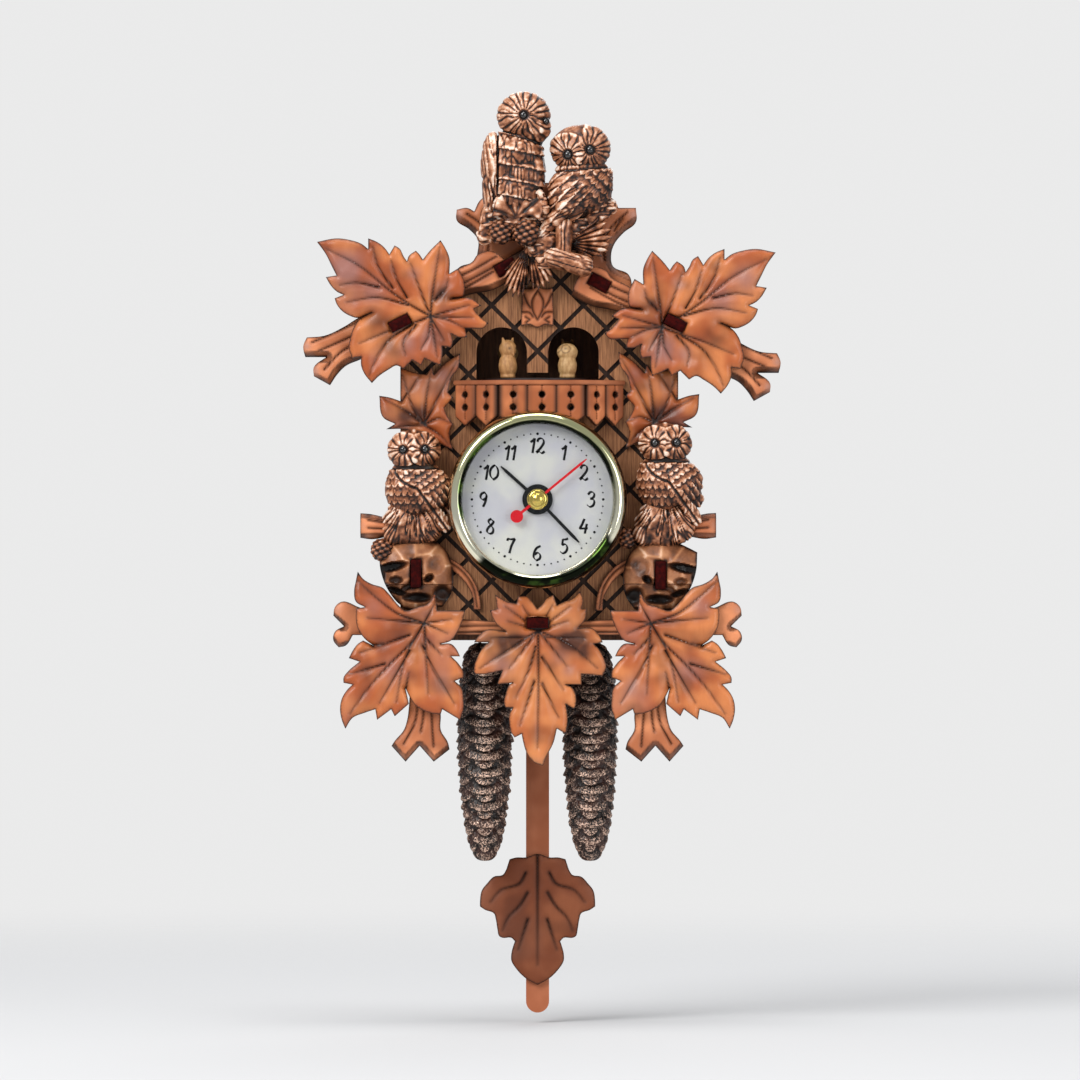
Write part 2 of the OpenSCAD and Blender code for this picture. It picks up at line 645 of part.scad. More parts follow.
module bezel() {
    wide = (bezel_r - sight_r) / 2;
    mid = (bezel_r + sight_r) / 2;
    shoulder = 1.9;
    lip = drum_y - lens_y;
    crest = drum_y - bezel_y;
    outside = [for (a = [0:15:75]) [mid + wide * cos(a), shoulder + (crest - shoulder) * sin(a)]];
    inside = [for (a = [90:15:180]) [mid + wide * cos(a), lip + 0.1 + (crest - lip - 0.1) * sin(a)]];
    color("lightgoldenrodyellow") ring_profile(concat([[22.5, 0], [bezel_r, 0]], outside, inside,
        [[sight_r, lip], [22.5, lip]]), drum_y);
}

module lens() { color("lightcyan", 0.4) bar(center_at, 22.4, lens_y, lens_y + 0.5); }

module dial() { color("whitesmoke") tube(center_at, dial_fix_r, 2.7, dial_y, drum_y); }

// A flat hand with a round hub, turned clockwise from straight up
module hand(length, wide, hub, hole, turn, front, thick) {
    translate([0, front + thick, dial_z]) rotate([90, 0, 0]) rotate([0, 0, -turn]) difference() {
        union() {
            cylinder(r = hub, h = thick);
            linear_extrude(thick) polygon([[-wide / 2, 0], [-wide / 2, length - 2], [-wide / 5, length],
                [wide / 5, length], [wide / 2, length - 2], [wide / 2, 0]]);
        }
        translate([0, 0, -1]) cylinder(r = hole, h = thick + 2);
    }
}

module hour_hand() { color(black) hand(hour_len, 0.9, 4.3, hour_tube_r, -48, hour_y, 0.4); }
module minute_hand() { color(black) hand(minute_len, 0.9, 3, cannon_r, 136, minute_y, 0.4); }

module second_hand() {
    thick = 0.25;
    turn = 50.6;
    color("red") {
        hand(second_len, 0.7, 1.6, second_r, turn, second_y, thick);
        translate([0, second_y + thick, dial_z]) rotate([90, 0, 0]) rotate([0, 0, -turn]) {
            translate([-0.4, -7, 0]) cube([0.8, 6, thick]);
            translate([0, -7.6, 0]) cylinder(r = 1.8, h = thick);
        }
    }
}

module hand_cap() {
    color(brass) difference() {
        intersection() {
            translate([0, second_y + 2, dial_z]) sphere(r = 3.6 );
            bar(center_at, 3.1, cap_y, second_y);
        }
        bar(center_at, second_r, cap_y + 0.6, second_y + 1);
    }
}

// ---- Movement ----
module movement_housing() {
    depth = box_back - box_front;
    inner_l = -box_x + box_wall;
    color("darkslategray") difference() {
        union() {
            translate([-box_x, box_front, box_bottom]) cube([2 * box_x, depth, box_top - box_bottom]);
            translate([bay_x - 1, box_front, box_bottom]) cube([box_x - bay_x + 1, cover_y - box_front,
                box_top - box_bottom]);
            bar(center_at, 4, -41.3, box_front);
        }
        translate([inner_l, box_front + box_wall, box_bottom + box_wall])
            cube([bay_x - 1 - inner_l, 30, box_top - box_bottom - 2 * box_wall]);
        translate([bay_x, box_front + box_wall, box_bottom + box_wall])
            cube([box_x - box_wall - bay_x, 30, box_top - box_bottom - 2 * box_wall]);
        bar(center_at, hour_tube_r + arbor_gap, -50, box_back + 1);
    }
    color("darkslategray") bar(motion_at, 0.55, box_front + box_wall, -25.1);
}

module movement_cover() {
    color("darkslategray") difference() {
        translate([-box_x, box_back, box_bottom])
            cube([box_x + bay_x - 1, cover_y - box_back, box_top - box_bottom]);
        bar(knob_at, 0.6 + arbor_gap, box_back - 1, 0);
    }
    color("silver") bar([0, pivot_z], pin_r, cover_y, -9.4);
    color("silver") bar([0, pivot_z], 1.8, -9.4, -8.6);
}

module movement_plate() {
    wide = bay_x - 1 + box_x - box_wall;
    color("gainsboro") difference() {
        translate([-box_x + box_wall, plate_y, box_bottom + box_wall])
            cube([wide, 1, box_top - box_bottom - 2 * box_wall]);
        bar(center_at, second_r + arbor_gap, plate_y - 1, plate_y + 2);
        bar(knob_at, 0.6 + arbor_gap, plate_y - 1, plate_y + 2);
    }
    color("silver") slab(-19.2, -18) translate([-18, -88]) square([12, 24]);
    color("darkorange") translate([-22, -20.6, -84]) rotate([0, 90, 0]) cylinder(r = 3.4, h = 20);
    color("silver") for (z = [-66, -86]) bar([-16, z], 1, -18, plate_y);
}

module shaft_nut() {
    color("silver") difference() {
        translate([0, front_y, dial_z]) rotate([90, 0, 0]) cylinder(r = 6.9, h = 2.4, $fn = 6);
        bar(center_at, 4, -50, 0);
    }
}

module hour_wheel() {
    color("white") difference() {
        union() {
            wheel(center_at, 32, motion_module, 0, -27.5, -26.6);
            bar(center_at, hour_tube_r, hour_y, -26.6);
        }
        bar(center_at, cannon_r + arbor_gap, -60, 0);
    }
}

module cannon_pinion() {
    color(brass) difference() {
        union() {
            wheel(center_at, 10, motion_module, 0, -26.3, -25.4);
            bar(center_at, cannon_r, minute_y, -23.7);
        }
        bar(center_at, second_r + arbor_gap, -60, 0);
    }
}

module motion_wheel() {
    color("white") difference() {
        union() {
            wheel(motion_at, 8, motion_module, 22.5, -27.5, -26.3);
            wheel(motion_at, 30, motion_module, 6, -26.3, -25.4);
        }
        bar(motion_at, 0.6, -60, 0);
    }
}

module second_wheel() {
    color("white") {
        wheel(center_at, 8, train_module, 0, -23.4, -22.4);
        wheel(center_at, 60, train_module, 0, -22, -21.2);
    }
    color("silver") bar(center_at, second_r, -45.4, -15.7);
}

module set_knob() {
    color(black) {
        wheel(knob_at, 12, motion_module, 15, -26.3, -25.4);
        bar(knob_at, 0.6, -25.4, cover_y + 0.4);
        bar(knob_at, 5, cover_y + 0.4, cover_y + 3);
    }
}

module aa_battery() {
    color("peru") translate([battery_x, battery_y, -92]) {
        cylinder(r = battery_r, h = 49.4);
        translate([0, 0, 49.4]) cylinder(r = 2.7, h = 1.1);
    }
}

// ---- Pendulum and weights ----
module pendulum_hanger() {
    color("silver") {
        slab(-13, -12) difference() {
            union() {
                translate([0, pivot_z]) circle(r = 4);
                translate([-2.5, -97]) square([5, 20]);
            }
            translate([0, pivot_z]) circle(r = pin_r + arbor_gap);
        }
        bar([0, -93], 1.2, -12, -10.2);
        bar([0, -79.5], 2.4, -12, -10.5);
    }
}

module pendulum_rod() {
    color(dark_wood) slab(rod_y[0], rod_y[1]) difference() {
        union() {
            translate([-rod_w / 2, -tip_drop + rod_w / 2]) square([rod_w, tip_drop - rod_w / 2 - 90]);
            translate([0, -tip_drop + rod_w / 2]) circle(r = rod_w / 2);
        }
        translate([0, -93]) circle(r = 1.25);
    }
}

module pendulum_leaf() {
    color(dark_wood) slab(bob_y, rod_y[0]) {
        polygon(bob_half);
        polygon(mirrored(bob_half));
    }
}

module weight_pins() {
    color("silver") for (s = [-1, 1]) translate([s * cone_x, -cone_y, cone_pin_z])
        rotate([90, 0, 0]) cylinder(r = 0.8, h = 9, center = true);
}

// Radius of a pine cone weight at a share of its height, 0 at the top and 1 at the tip
function cone_half(t) = cone_r * pow(sin(180 * pow(max(t, 0.004), 0.72)), 0.34);

// One pine cone weight with its wire bail
module pine_cone(x) {
    tall = cone_top_z - cone_tip_z;
    rows = [for (i = [0:cone_rows - 1]) for (p = [[0.02, 0.9], [0.85, 1]])
        let (t = (i + p[0]) / cone_rows) [max(0.6, cone_half(t) * p[1]), -t * tall]];
    color("sienna") translate([x, -cone_y, cone_top_z]) rotate_extrude()
        polygon(concat([[0, 0]], rows, [[0, -tall]]));
    bail_r = 1.5;
    wire = 0.45;
    color("silver") translate([x, -cone_y, cone_pin_z - 0.8 + wire + 0.3]) {
        for (s = [-1, 1]) translate([s * bail_r, 0, -5.6]) cylinder(r = wire, h = 5.6);
        difference() {
            rotate([90, 0, 0]) rotate_extrude() translate([bail_r, 0]) circle(r = wire, $fn = 24);
            translate([-5, -5, -10]) cube([10, 10, 10]);
        }
    }
}

module cone_left() { pine_cone(-cone_x); }
module cone_right() { pine_cone(cone_x); }

back_panel();
front_panel();
side_panel_left();
side_panel_right();
bottom_panel();
roof_panel_left();
roof_panel_right();
back_screws();
crest_board();
roof_branch_left();
roof_branch_right();
top_leaf_left();
top_leaf_right();
crest_owl_left();
crest_owl_right();
crest_perch();
crest_spray();
keystone_plaque();
side_leaves();
weight_pins();
side_owl_left();
side_owl_right();
side_stump_left();
side_stump_right();
base_rail();
lower_leaf_left();
lower_leaf_right();
lower_leaf_center();
lower_twigs();
carving_pegs();
balcony_floor();
balcony_fence();
carousel_shelf();
turntable();
dancer_owls();
carousel_motor();
motor_pinion();
dial_drum();
bezel();
lens();
dial();
hour_hand();
minute_hand();
second_hand();
hand_cap();
movement_housing();
movement_cover();
movement_plate();
shaft_nut();
hour_wheel();
cannon_pinion();
motion_wheel();
second_wheel();
set_knob();
aa_battery();
pendulum_hanger();
pendulum_rod();
pendulum_leaf();
cone_left();
cone_right();
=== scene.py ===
import math

import bmesh
import bpy
import numpy as np
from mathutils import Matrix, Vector
from mathutils.geometry import delaunay_2d_cdt


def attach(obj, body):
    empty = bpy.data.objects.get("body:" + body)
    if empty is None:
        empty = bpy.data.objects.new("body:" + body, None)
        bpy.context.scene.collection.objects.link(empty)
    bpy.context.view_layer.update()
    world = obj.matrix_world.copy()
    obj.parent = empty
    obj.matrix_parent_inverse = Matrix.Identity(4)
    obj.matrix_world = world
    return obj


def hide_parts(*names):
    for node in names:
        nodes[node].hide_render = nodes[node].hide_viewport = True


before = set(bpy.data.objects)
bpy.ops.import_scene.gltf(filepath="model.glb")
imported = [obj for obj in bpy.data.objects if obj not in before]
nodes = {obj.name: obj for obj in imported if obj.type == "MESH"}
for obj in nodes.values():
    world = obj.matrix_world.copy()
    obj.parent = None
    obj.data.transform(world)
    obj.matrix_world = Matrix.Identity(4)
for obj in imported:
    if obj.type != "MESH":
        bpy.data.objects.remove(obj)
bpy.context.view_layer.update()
mm = 0.001  # every outline and place below is in millimetres
dialZ = -59.5  # height of the dial's centre, which stands at x = 0

# camera, floor and light
view = {"aimX": 0.7, "aimZ": -71, "height": 306.8, "distance": 2500, "planeY": -35, "sensor": 36}
studio = {
    "backdrop": (0.827, 0.827, 0.827),  # what the camera sees behind the clock
    "roomGlow": (0.42, 0.43, 0.45),     # what lights the clock from all round
    "floorZ": -209.5,
    "floorSize": 900,
}
lamps = [
    # name, place, size, watts
    ("keyPanel", (-900, -1300, 900), 900, 24),
    ("fillPanel", (1100, -1200, 100), 900, 8),
    ("topPanel", (0, -300, 1300), 800, 9),
    ("backPanel", (300, 1200, 500), 900, 5),
]


def makeCamera():
    data = bpy.data.cameras.new("camera")
    camera = bpy.data.objects.new("camera", data)
    bpy.context.scene.collection.objects.link(camera)
    data.sensor_width = view["sensor"]
    data.lens = view["sensor"] * (view["distance"] + view["planeY"]) / view["height"]
    data.clip_end = 50
    camera.location = Vector((view["aimX"], -view["distance"], view["aimZ"])) * mm
    camera.rotation_euler = (math.radians(90), 0, 0)
    bpy.context.scene.camera = camera


def makeLamps():
    aim = Vector((0, -20, -75)) * mm
    for name, place, size, watts in lamps:
        data = bpy.data.lights.new(name, "AREA")
        data.size = size * mm
        data.energy = watts
        lamp = bpy.data.objects.new(name, data)
        bpy.context.scene.collection.objects.link(lamp)
        lamp.location = Vector(place) * mm
        lamp.rotation_euler = (aim - lamp.location).to_track_quat("-Z", "Y").to_euler()


# shader maths
class Wire:  # a socket that can be added, multiplied and so on
    def __init__(self, tree, socket=None):
        self.tree = tree
        self.socket = socket

    def node(self, kind, settings=None, inputs=None, output=0):
        made = self.tree.nodes.new("ShaderNode" + kind)
        for key, value in (settings or {}).items():
            if key == "stops":
                ramp = made.color_ramp.elements
                while len(ramp) < len(value):
                    ramp.new(0.5)
                for element, (place, shade) in zip(ramp, value):
                    element.position = place
                    element.color = shade
            else:
                setattr(made, key, value)
        for key, value in (inputs or {}).items():
            if isinstance(value, Wire):
                self.tree.links.new(value.socket, made.inputs[key])
            else:
                made.inputs[key].default_value = value
        return Wire(self.tree, made.outputs[output])

    def maths(self, operation, *values):
        return self.node("Math", {"operation": operation}, dict(enumerate(values)))

    def __add__(self, other):
        return self.maths("ADD", self, other)

    def __radd__(self, other):
        return self.maths("ADD", other, self)

    def __sub__(self, other):
        return self.maths("SUBTRACT", self, other)

    def __rsub__(self, other):
        return self.maths("SUBTRACT", other, self)

    def __mul__(self, other):
        return self.maths("MULTIPLY", self, other)

    def __rmul__(self, other):
        return self.maths("MULTIPLY", other, self)

    def __truediv__(self, other):
        return self.maths("DIVIDE", self, other)

    def __pow__(self, other):
        return self.maths("POWER", self, other)

    def clipped(self):
        return self.maths("MAXIMUM", self.maths("MINIMUM", self, 1), 0)

    def ramp(self, low, high):  # 0 below low, 1 above high, smooth between
        settings = {"interpolation_type": "SMOOTHSTEP"}
        return self.node("MapRange", settings, {"Value": self, "From Min": low, "From Max": high})

    def mix(self, first, second):  # colours, by this socket as the factor
        inputs = {"Factor": self, 6: first, 7: second}
        return self.node("Mix", {"data_type": "RGBA"}, inputs, 2)

    # scale: waves to a millimetre, alike all round or per axis
    def noise(self, place, scale, detail, roughness):
        scale = scale if isinstance(scale, tuple) else (scale,) * 3
        spread = self.node("VectorMath", {"operation": "MULTIPLY"},
                           {0: place, 1: tuple(s / mm for s in scale)})
        inputs = {"Vector": spread, "Scale": 1.0, "Detail": detail, "Roughness": roughness}
        return self.node("TexNoise", None, inputs)

    def mask(self, name):  # a value painted on the mesh's points
        return self.node("Attribute", {"attribute_name": name}, None, 2)


def tone(red, green, blue):  # an sRGB colour, 0 to 255, as the shader wants it
    return (tuple((v / 255 / 12.92 if v < 10 else ((v / 255 + 0.055) / 1.055) ** 2.4)
                  for v in (red, green, blue)) + (1,))


def makeFinish(name, paint, fixed):
    material = bpy.data.materials.new(name)
    material.use_nodes = True
    tree = material.node_tree
    shader = tree.nodes["Principled BSDF"]
    wire = Wire(tree)
    for key, value in {**fixed, **paint(wire, wire.node("NewGeometry"))}.items():
        if isinstance(value, Wire):
            tree.links.new(value.socket, shader.inputs[key])
        else:
            shader.inputs[key].default_value = value
    return material


def bumped(wire, height, distance, strength=1.0):
    return wire.node("Bump", None, {"Height": height, "Distance": distance * mm, "Strength": strength})


# finishes
leafLook = {"base": tone(207, 125, 72), "deep": tone(168, 84, 42), "burntAndShade": tone(62, 30, 20),
            "plum": tone(150, 104, 96), "line": tone(26, 12, 9)}
paleLook = {"base": tone(212, 134, 80), "deep": tone(184, 100, 52), "burntAndShade": tone(58, 28, 18),
            "plum": tone(146, 100, 92), "line": tone(26, 12, 9)}
branchLook = {"base": tone(226, 144, 98), "deep": tone(178, 104, 66), "burntAndShade": tone(66, 38, 26),
              "plum": tone(176, 126, 108), "line": tone(22, 12, 9)}
pendulumLook = {"base": tone(134, 76, 48), "deep": tone(112, 58, 34), "burntAndShade": tone(70, 36, 22),
                "plum": tone(128, 84, 66), "line": tone(36, 18, 12)}
# painted light: a paler copy of the pendulum wood for the rod, offsetting the shadow the rod sits in behind
# the weights
rodPaintedLightLook = {**pendulumLook, "base": tone(186, 114, 80), "deep": tone(164, 94, 62)}
fenceLook = {"base": tone(208, 126, 80), "deep": tone(160, 88, 52), "burntAndShade": tone(78, 46, 30),
             "plum": tone(120, 84, 66), "line": tone(24, 13, 9)}


def carvedPaint(look, grain=(0.9, 0.9, 0.12), gloss=0.34):
    def paint(wire, place):
        along = wire.noise(place, grain, 4, 0.6)
        patch = wire.noise(place, 0.09, 2, 0.5)
        colour = patch.ramp(0.38, 0.66).mix(look["deep"], look["base"])
        colour = (along.ramp(0.35, 0.75) * 0.16).mix(colour, look["deep"])
        colour = (wire.mask("plum") * 0.85).clipped().mix(colour, look["plum"])
        # darkening from the mesh: burnt tone on the leaves and edges, and painted shade on the under bevels
        # of the branches
        colour = (wire.mask("burn") * 0.9).clipped().mix(colour, look["burntAndShade"])
        colour = wire.mask("line").clipped().mix(colour, look["line"])
        rough = gloss + along * 0.12 + wire.mask("line") * 0.2
        return {"Base Color": colour, "Roughness": rough, "Normal": bumped(wire, along, 0.05, 0.35)}
    return paint


def panelPaint(wire, place):  # dark walnut with upright grain, black in the lattice grooves
    along = wire.noise(place, (2.6, 0.5, 0.10), 5, 0.65)
    fine = wire.noise(place, (9, 1, 0.35), 2, 0.6)
    depth = wire.node("SeparateXYZ", None, {0: place}, 1)
    sunk = depth.ramp(-31.95 * mm, -31.6 * mm)
    colour = along.ramp(0.3, 0.7).mix(tone(110, 70, 46), tone(178, 124, 84))
    colour = (fine.ramp(0.5, 0.75) * 0.45).mix(colour, tone(64, 40, 27))
    colour = sunk.mix(colour, fine.ramp(0.35, 0.7).mix(tone(24, 15, 12), tone(62, 41, 30)))
    return {"Base Color": colour, "Roughness": 0.5 + fine * 0.15,
            "Normal": bumped(wire, fine + along, 0.06, 0.5)}


def boardPaint(wire, place):
    along = wire.noise(place, (0.9, 0.9, 0.08), 5, 0.6)
    fine = wire.noise(place, (5, 5, 0.3), 2, 0.6)
    colour = along.ramp(0.3, 0.72).mix(tone(96, 62, 44), tone(140, 94, 66))
    colour = (fine.ramp(0.5, 0.8) * 0.4).mix(colour, tone(74, 48, 36))
    return {"Base Color": colour, "Roughness": 0.45 + fine * 0.2, "Normal": bumped(wire, fine, 0.05, 0.5)}


def resinPaint(wire, place):  # copper-brown cast resin, rubbed pale on every ridge; on the cast lumps the ridge mask also holds painted light, paler where they face up and left
    ridge = wire.mask("ridge")
    fleck = wire.noise(place, 1.4, 4, 0.7)
    patch = wire.noise(place, 0.3, 2, 0.5)
    # how pale: rubbed ridges, flecks and patches, with painted light from the cast lumps' ridge mask
    paleness = (ridge + (fleck - 0.5) * 0.5 + (patch - 0.5) * 0.6 - 0.05).clipped()
    stops = [(0.0, tone(16, 8, 6)), (0.3, tone(58, 31, 20)), (0.52, tone(124, 74, 48)),
             (0.72, tone(178, 118, 84)), (0.88, tone(218, 172, 142)), (1.0, tone(246, 224, 206))]
    colour = wire.node("ValToRGB", {"stops": stops}, {"Fac": paleness})
    return {"Base Color": colour, "Roughness": 0.48 - paleness * 0.2, "Normal": bumped(wire, fleck, 0.06, 0.4)}


def stumpPaint(wire, place):  # gouged wood-coloured resin, nearly black in the cuts
    ridge = wire.mask("ridge")
    fleck = wire.noise(place, 0.9, 4, 0.65)
    paleness = (ridge + (fleck - 0.5) * 0.3).clipped()
    stops = [(0.0, tone(16, 8, 5)), (0.3, tone(66, 38, 24)), (0.58, tone(146, 92, 60)),
             (0.82, tone(190, 132, 92)), (1.0, tone(230, 184, 150))]
    colour = wire.node("ValToRGB", {"stops": stops}, {"Fac": paleness})
    return {"Base Color": colour, "Roughness": 0.46 - paleness * 0.12, "Normal": bumped(wire, fleck, 0.06, 0.4)}


def conePaint(wire, place):  # nearly black bronze with pale speckle on the scales
    ridge = wire.mask("ridge")
    speck = wire.noise(place, 2.3, 3, 0.7)
    patch = wire.noise(place, 0.25, 2, 0.5)
    paleness = (speck + ridge * 0.12).ramp(0.55, 0.70) * ridge.ramp(0.15, 0.75)
    dark = patch.ramp(0.4, 0.65).mix(tone(20, 12, 10), tone(54, 28, 20))
    colour = paleness.mix(dark, tone(222, 186, 164))
    return {"Base Color": colour, "Roughness": 0.42, "Metallic": paleness * 0.3,
            "Normal": bumped(wire, speck, 0.12, 0.7)}


def speckled(base, dark, size, gloss):
    def paint(wire, place):
        grain = wire.noise(place, size, 3, 0.6)
        return {"Base Color": grain.ramp(0.35, 0.7).mix(dark, base), "Roughness": gloss + grain * 0.1,
                "Normal": bumped(wire, grain, 0.02, 0.4)}
    return paint


def figurePaint(base, dark):  # small turned wooden figures, striped by age and touched with brown
    def paint(wire, place):
        grain = wire.noise(place, (1.2, 1.2, 0.4), 4, 0.6)
        colour = grain.ramp(0.35, 0.72).mix(dark, base)
        colour = wire.mask("line").clipped().mix(colour, tone(60, 38, 26))
        return {"Base Color": colour, "Roughness": 0.5 + grain * 0.15,
                "Normal": bumped(wire, grain, 0.05, 0.4)}
    return paint


def metalPaint(base, dark):
    def paint(wire, place):
        brushed = wire.noise(place, (0.4, 6, 6), 3, 0.6)
        return {"Base Color": brushed.mix(dark, base), "Roughness": 0.24 + brushed * 0.2}
    return paint


def polishPaint(base, dark, gloss):
    def paint(wire, place):
        haze = wire.noise(place, 0.2, 3, 0.6)
        return {"Base Color": haze.mix(dark, base), "Roughness": gloss + haze * 0.04}
    return paint


def bezelPaint(wire, place):  # pale gold with painted reflections: dark green and near-black bands set by place round the ring, and the gold turning olive towards the top
    x, z = (wire.node("SeparateXYZ", None, {0: place}, k) / mm for k in (0, 2))
    z = z - dialZ
    radius = (x * x + z * z) ** 0.5
    up, right = z / radius, x / radius
    wander = wire.noise(place, 0.12, 3, 0.6)
    # painted reflections: dark bands on the inner slope towards the top left and the right, on the middle
    # slope towards the bottom, and along the outer edge on the right
    inner = 1 - radius.ramp(22.0, 23.4)
    middle = radius.ramp(21.8, 22.5) * (1 - radius.ramp(24.7, 25.2))
    high = inner * (up - right * 0.35).ramp(-0.3, 0.4)
    low = middle * (right * 0.15 - up).ramp(0.5, 0.75)
    edge = radius.ramp(24.1, 24.9) * right.ramp(0.1, 0.7) * 0.8 + inner * right.ramp(0.4, 0.9) * 0.5
    dark = (high * 0.9 + low * 1.2 + edge + (wander - 0.5) * 0.5).clipped()
    deep = (wander.ramp(0.52, 0.62) * (1 - dark * 0.8)).mix(tone(20, 24, 16), tone(110, 150, 60))
    # painted reflection: the pale gold turns olive towards the top
    pale = up.ramp(-0.3, 0.8).mix(tone(242, 238, 212), tone(206, 205, 154))
    colour = dark.ramp(0.25, 0.8).mix(pale, deep)
    return {"Base Color": colour, "Roughness": 0.1 + wander * 0.04}


lacquered = {"Specular IOR Level": 0.3, "Coat Weight": 0.16, "Coat Roughness": 0.25}
castGloss = {"Specular IOR Level": 0.3, "Coat Weight": 0.1, "Coat Roughness": 0.2}
metallic = {"Metallic": 1.0}


def dull(level):  # no coat, and only a little shine
    return {"Specular IOR Level": level}


recipes = {
    # finish: what is painted over the surface, what is the same all over
    "leafWood": (carvedPaint(leafLook), lacquered),
    "leafPale": (carvedPaint(paleLook), lacquered),
    "branchWood": (carvedPaint(branchLook, (0.9, 0.9, 0.9), 0.42),
                   {"Specular IOR Level": 0.25, "Coat Weight": 0.08, "Coat Roughness": 0.3}),
    "pendulumWood": (carvedPaint(pendulumLook, (2.2, 2.2, 0.12), 0.48), dull(0.2)),
    "fenceWood": (carvedPaint(fenceLook, (1.8, 1.8, 0.15), 0.45), dull(0.25)),
    "rodWoodPaintedLight": (carvedPaint(rodPaintedLightLook, (2.2, 2.2, 0.12), 0.48), dull(0.2)),
    "walnut": (panelPaint, dull(0.2)),
    "caseBoard": (boardPaint, dull(0.3)),
    "owlResin": (resinPaint, castGloss),
    "stumpResin": (stumpPaint, castGloss),
    "coneResin": (conePaint, castGloss),
    "pegWood": (speckled(tone(62, 8, 6), tone(38, 5, 5), 0.8, 0.7), dull(0.05)),
    "paleGoldPaintedReflection": (bezelPaint, metallic),
    "brass": (polishPaint(tone(240, 214, 120), tone(206, 176, 78), 0.12), metallic),
    "steel": (metalPaint(tone(206, 206, 208), tone(168, 168, 172)), metallic),
    "dialSilver": (speckled(tone(215, 214, 208), tone(196, 195, 203), 0.07, 0.42), dull(0.3)),
    "ink": (speckled(tone(18, 20, 22), tone(12, 13, 15), 2.0, 0.6), dull(0.1)),
    "handBlack": (speckled(tone(14, 17, 20), tone(8, 10, 12), 2.0, 0.3), dull(0.2)),
    "handRed": (speckled(tone(222, 20, 36), tone(202, 16, 30), 2.0, 0.3), dull(0.2)),
    "blackPlastic": (speckled(tone(34, 34, 36), tone(24, 24, 26), 3.0, 0.48), {}),
    "gearPlastic": (speckled(tone(232, 230, 222), tone(220, 218, 210), 0.6, 0.35), {}),
    "battery": (speckled(tone(150, 96, 40), tone(126, 78, 32), 0.5, 0.3), {"Metallic": 0.6}),
    "eyeGloss": (speckled(tone(20, 16, 14), tone(12, 10, 10), 2.0, 0.08), {"Coat Weight": 1.0}),
    "figureTan": (figurePaint(tone(196, 146, 92), tone(160, 112, 66)), {}),
    "figureCream": (figurePaint(tone(206, 168, 116), tone(168, 128, 80)), {}),
    "darkWood": (speckled(tone(44, 24, 20), tone(26, 14, 12), 0.7, 0.5), {}),
}
finishes = {name: makeFinish(name, paint, fixed) for name, (paint, fixed) in recipes.items()}


def makeLens():  # clear flat glass that shadows pass through
    material = bpy.data.materials.new("lensGlass")
    material.use_nodes = True
    tree = material.node_tree
    wire = Wire(tree)
    haze = wire.noise(wire.node("NewGeometry"), 0.15, 2, 0.5)
    clear = wire.node("BsdfTransparent", None, {"Color": (0.99, 0.995, 0.99, 1)})
    shine = wire.node("BsdfGlossy", None, {"Color": (1, 1, 1, 1), "Roughness": 0.02})
    facing = wire.node("Fresnel", None, {"IOR": 1.45})
    both = wire.node("MixShader", None, {0: facing * (0.25 + haze * 0.2), 1: clear, 2: shine})
    tree.links.new(both.socket, tree.nodes["Material Output"].inputs["Surface"])
    return material


finishes["lensGlass"] = makeLens()


def dress(piece, finish):
    piece.data.materials.clear()
    piece.data.materials.append(finishes[finish])


# stage
def makeStage():
    world = bpy.data.worlds.new("room")
    bpy.context.scene.world = world
    world.use_nodes = True
    tree = world.node_tree
    wire = Wire(tree)
    seen = wire.node("Background", None, {"Color": (*studio["backdrop"], 1)})
    glow = wire.node("Background", None, {"Color": (*studio["roomGlow"], 1)})
    direct = wire.node("LightPath")
    both = wire.node("MixShader", None, {0: direct, 1: glow, 2: seen})
    tree.links.new(both.socket, tree.nodes["World Output"].inputs["Surface"])
    mesh = bpy.data.meshes.new("floor")
    half = studio["floorSize"]
    corners = [(-half, -half), (half, -half), (half, half), (-half, half)]
    mesh.from_pydata([Vector((x, y, studio["floorZ"])) * mm for x, y in corners], [], [(0, 1, 2, 3)])
    floor = bpy.data.objects.new("floor", mesh)
    bpy.context.scene.collection.objects.link(floor)
    material = bpy.data.materials.new("floorPaper")
    material.use_nodes = True
    tree = material.node_tree
    wire = Wire(tree)
    place = wire.node("NewGeometry")
    away = wire.node("VectorMath", {"operation": "LENGTH"}, {0: place}, 1)
    clear = wire.node("BsdfTransparent")
    paper = wire.node("BsdfDiffuse", None, {"Color": (0.655, 0.655, 0.655, 1)})
    both = wire.node("MixShader", None, {0: away.ramp(0.32, 0.85), 1: paper, 2: clear})
    tree.links.new(both.socket, tree.nodes["Material Output"].inputs["Surface"])
    mesh.materials.append(material)


makeCamera()
makeLamps()
makeStage()
bpy.context.scene.view_settings.view_transform = "Standard"
print("studio ready")


# drawing in millimetres
def fuzz(points, size, seed=0):  # smooth random values, -1 to 1
    place = np.asarray(points, float) / size
    base = np.floor(place).astype(np.int64)
    part = place - base
    part = part * part * (3 - 2 * part)
    total = np.zeros(len(place))
    for corner in range(2 ** place.shape[1]):
        share, code = np.ones(len(place)), np.full(len(place), seed * 9176 + 11, np.int64)
        for k in range(place.shape[1]):
            bit = (corner >> k) & 1
            share = share * (part[:, k] if bit else 1 - part[:, k])
            code = (code * 31 + base[:, k] + bit) * 1103515245 % 2147483647
        code = (code ^ (code >> 11)) * 69069 % 2147483647
        total += share * ((code >> 7) % 4096 / 2047.5 - 1)
    return total


def ease(value, low, high):  # 0 below low, 1 above high, smooth between
    t = np.clip((value - low) / (high - low), 0, 1)
    return t * t * (3 - 2 * t)


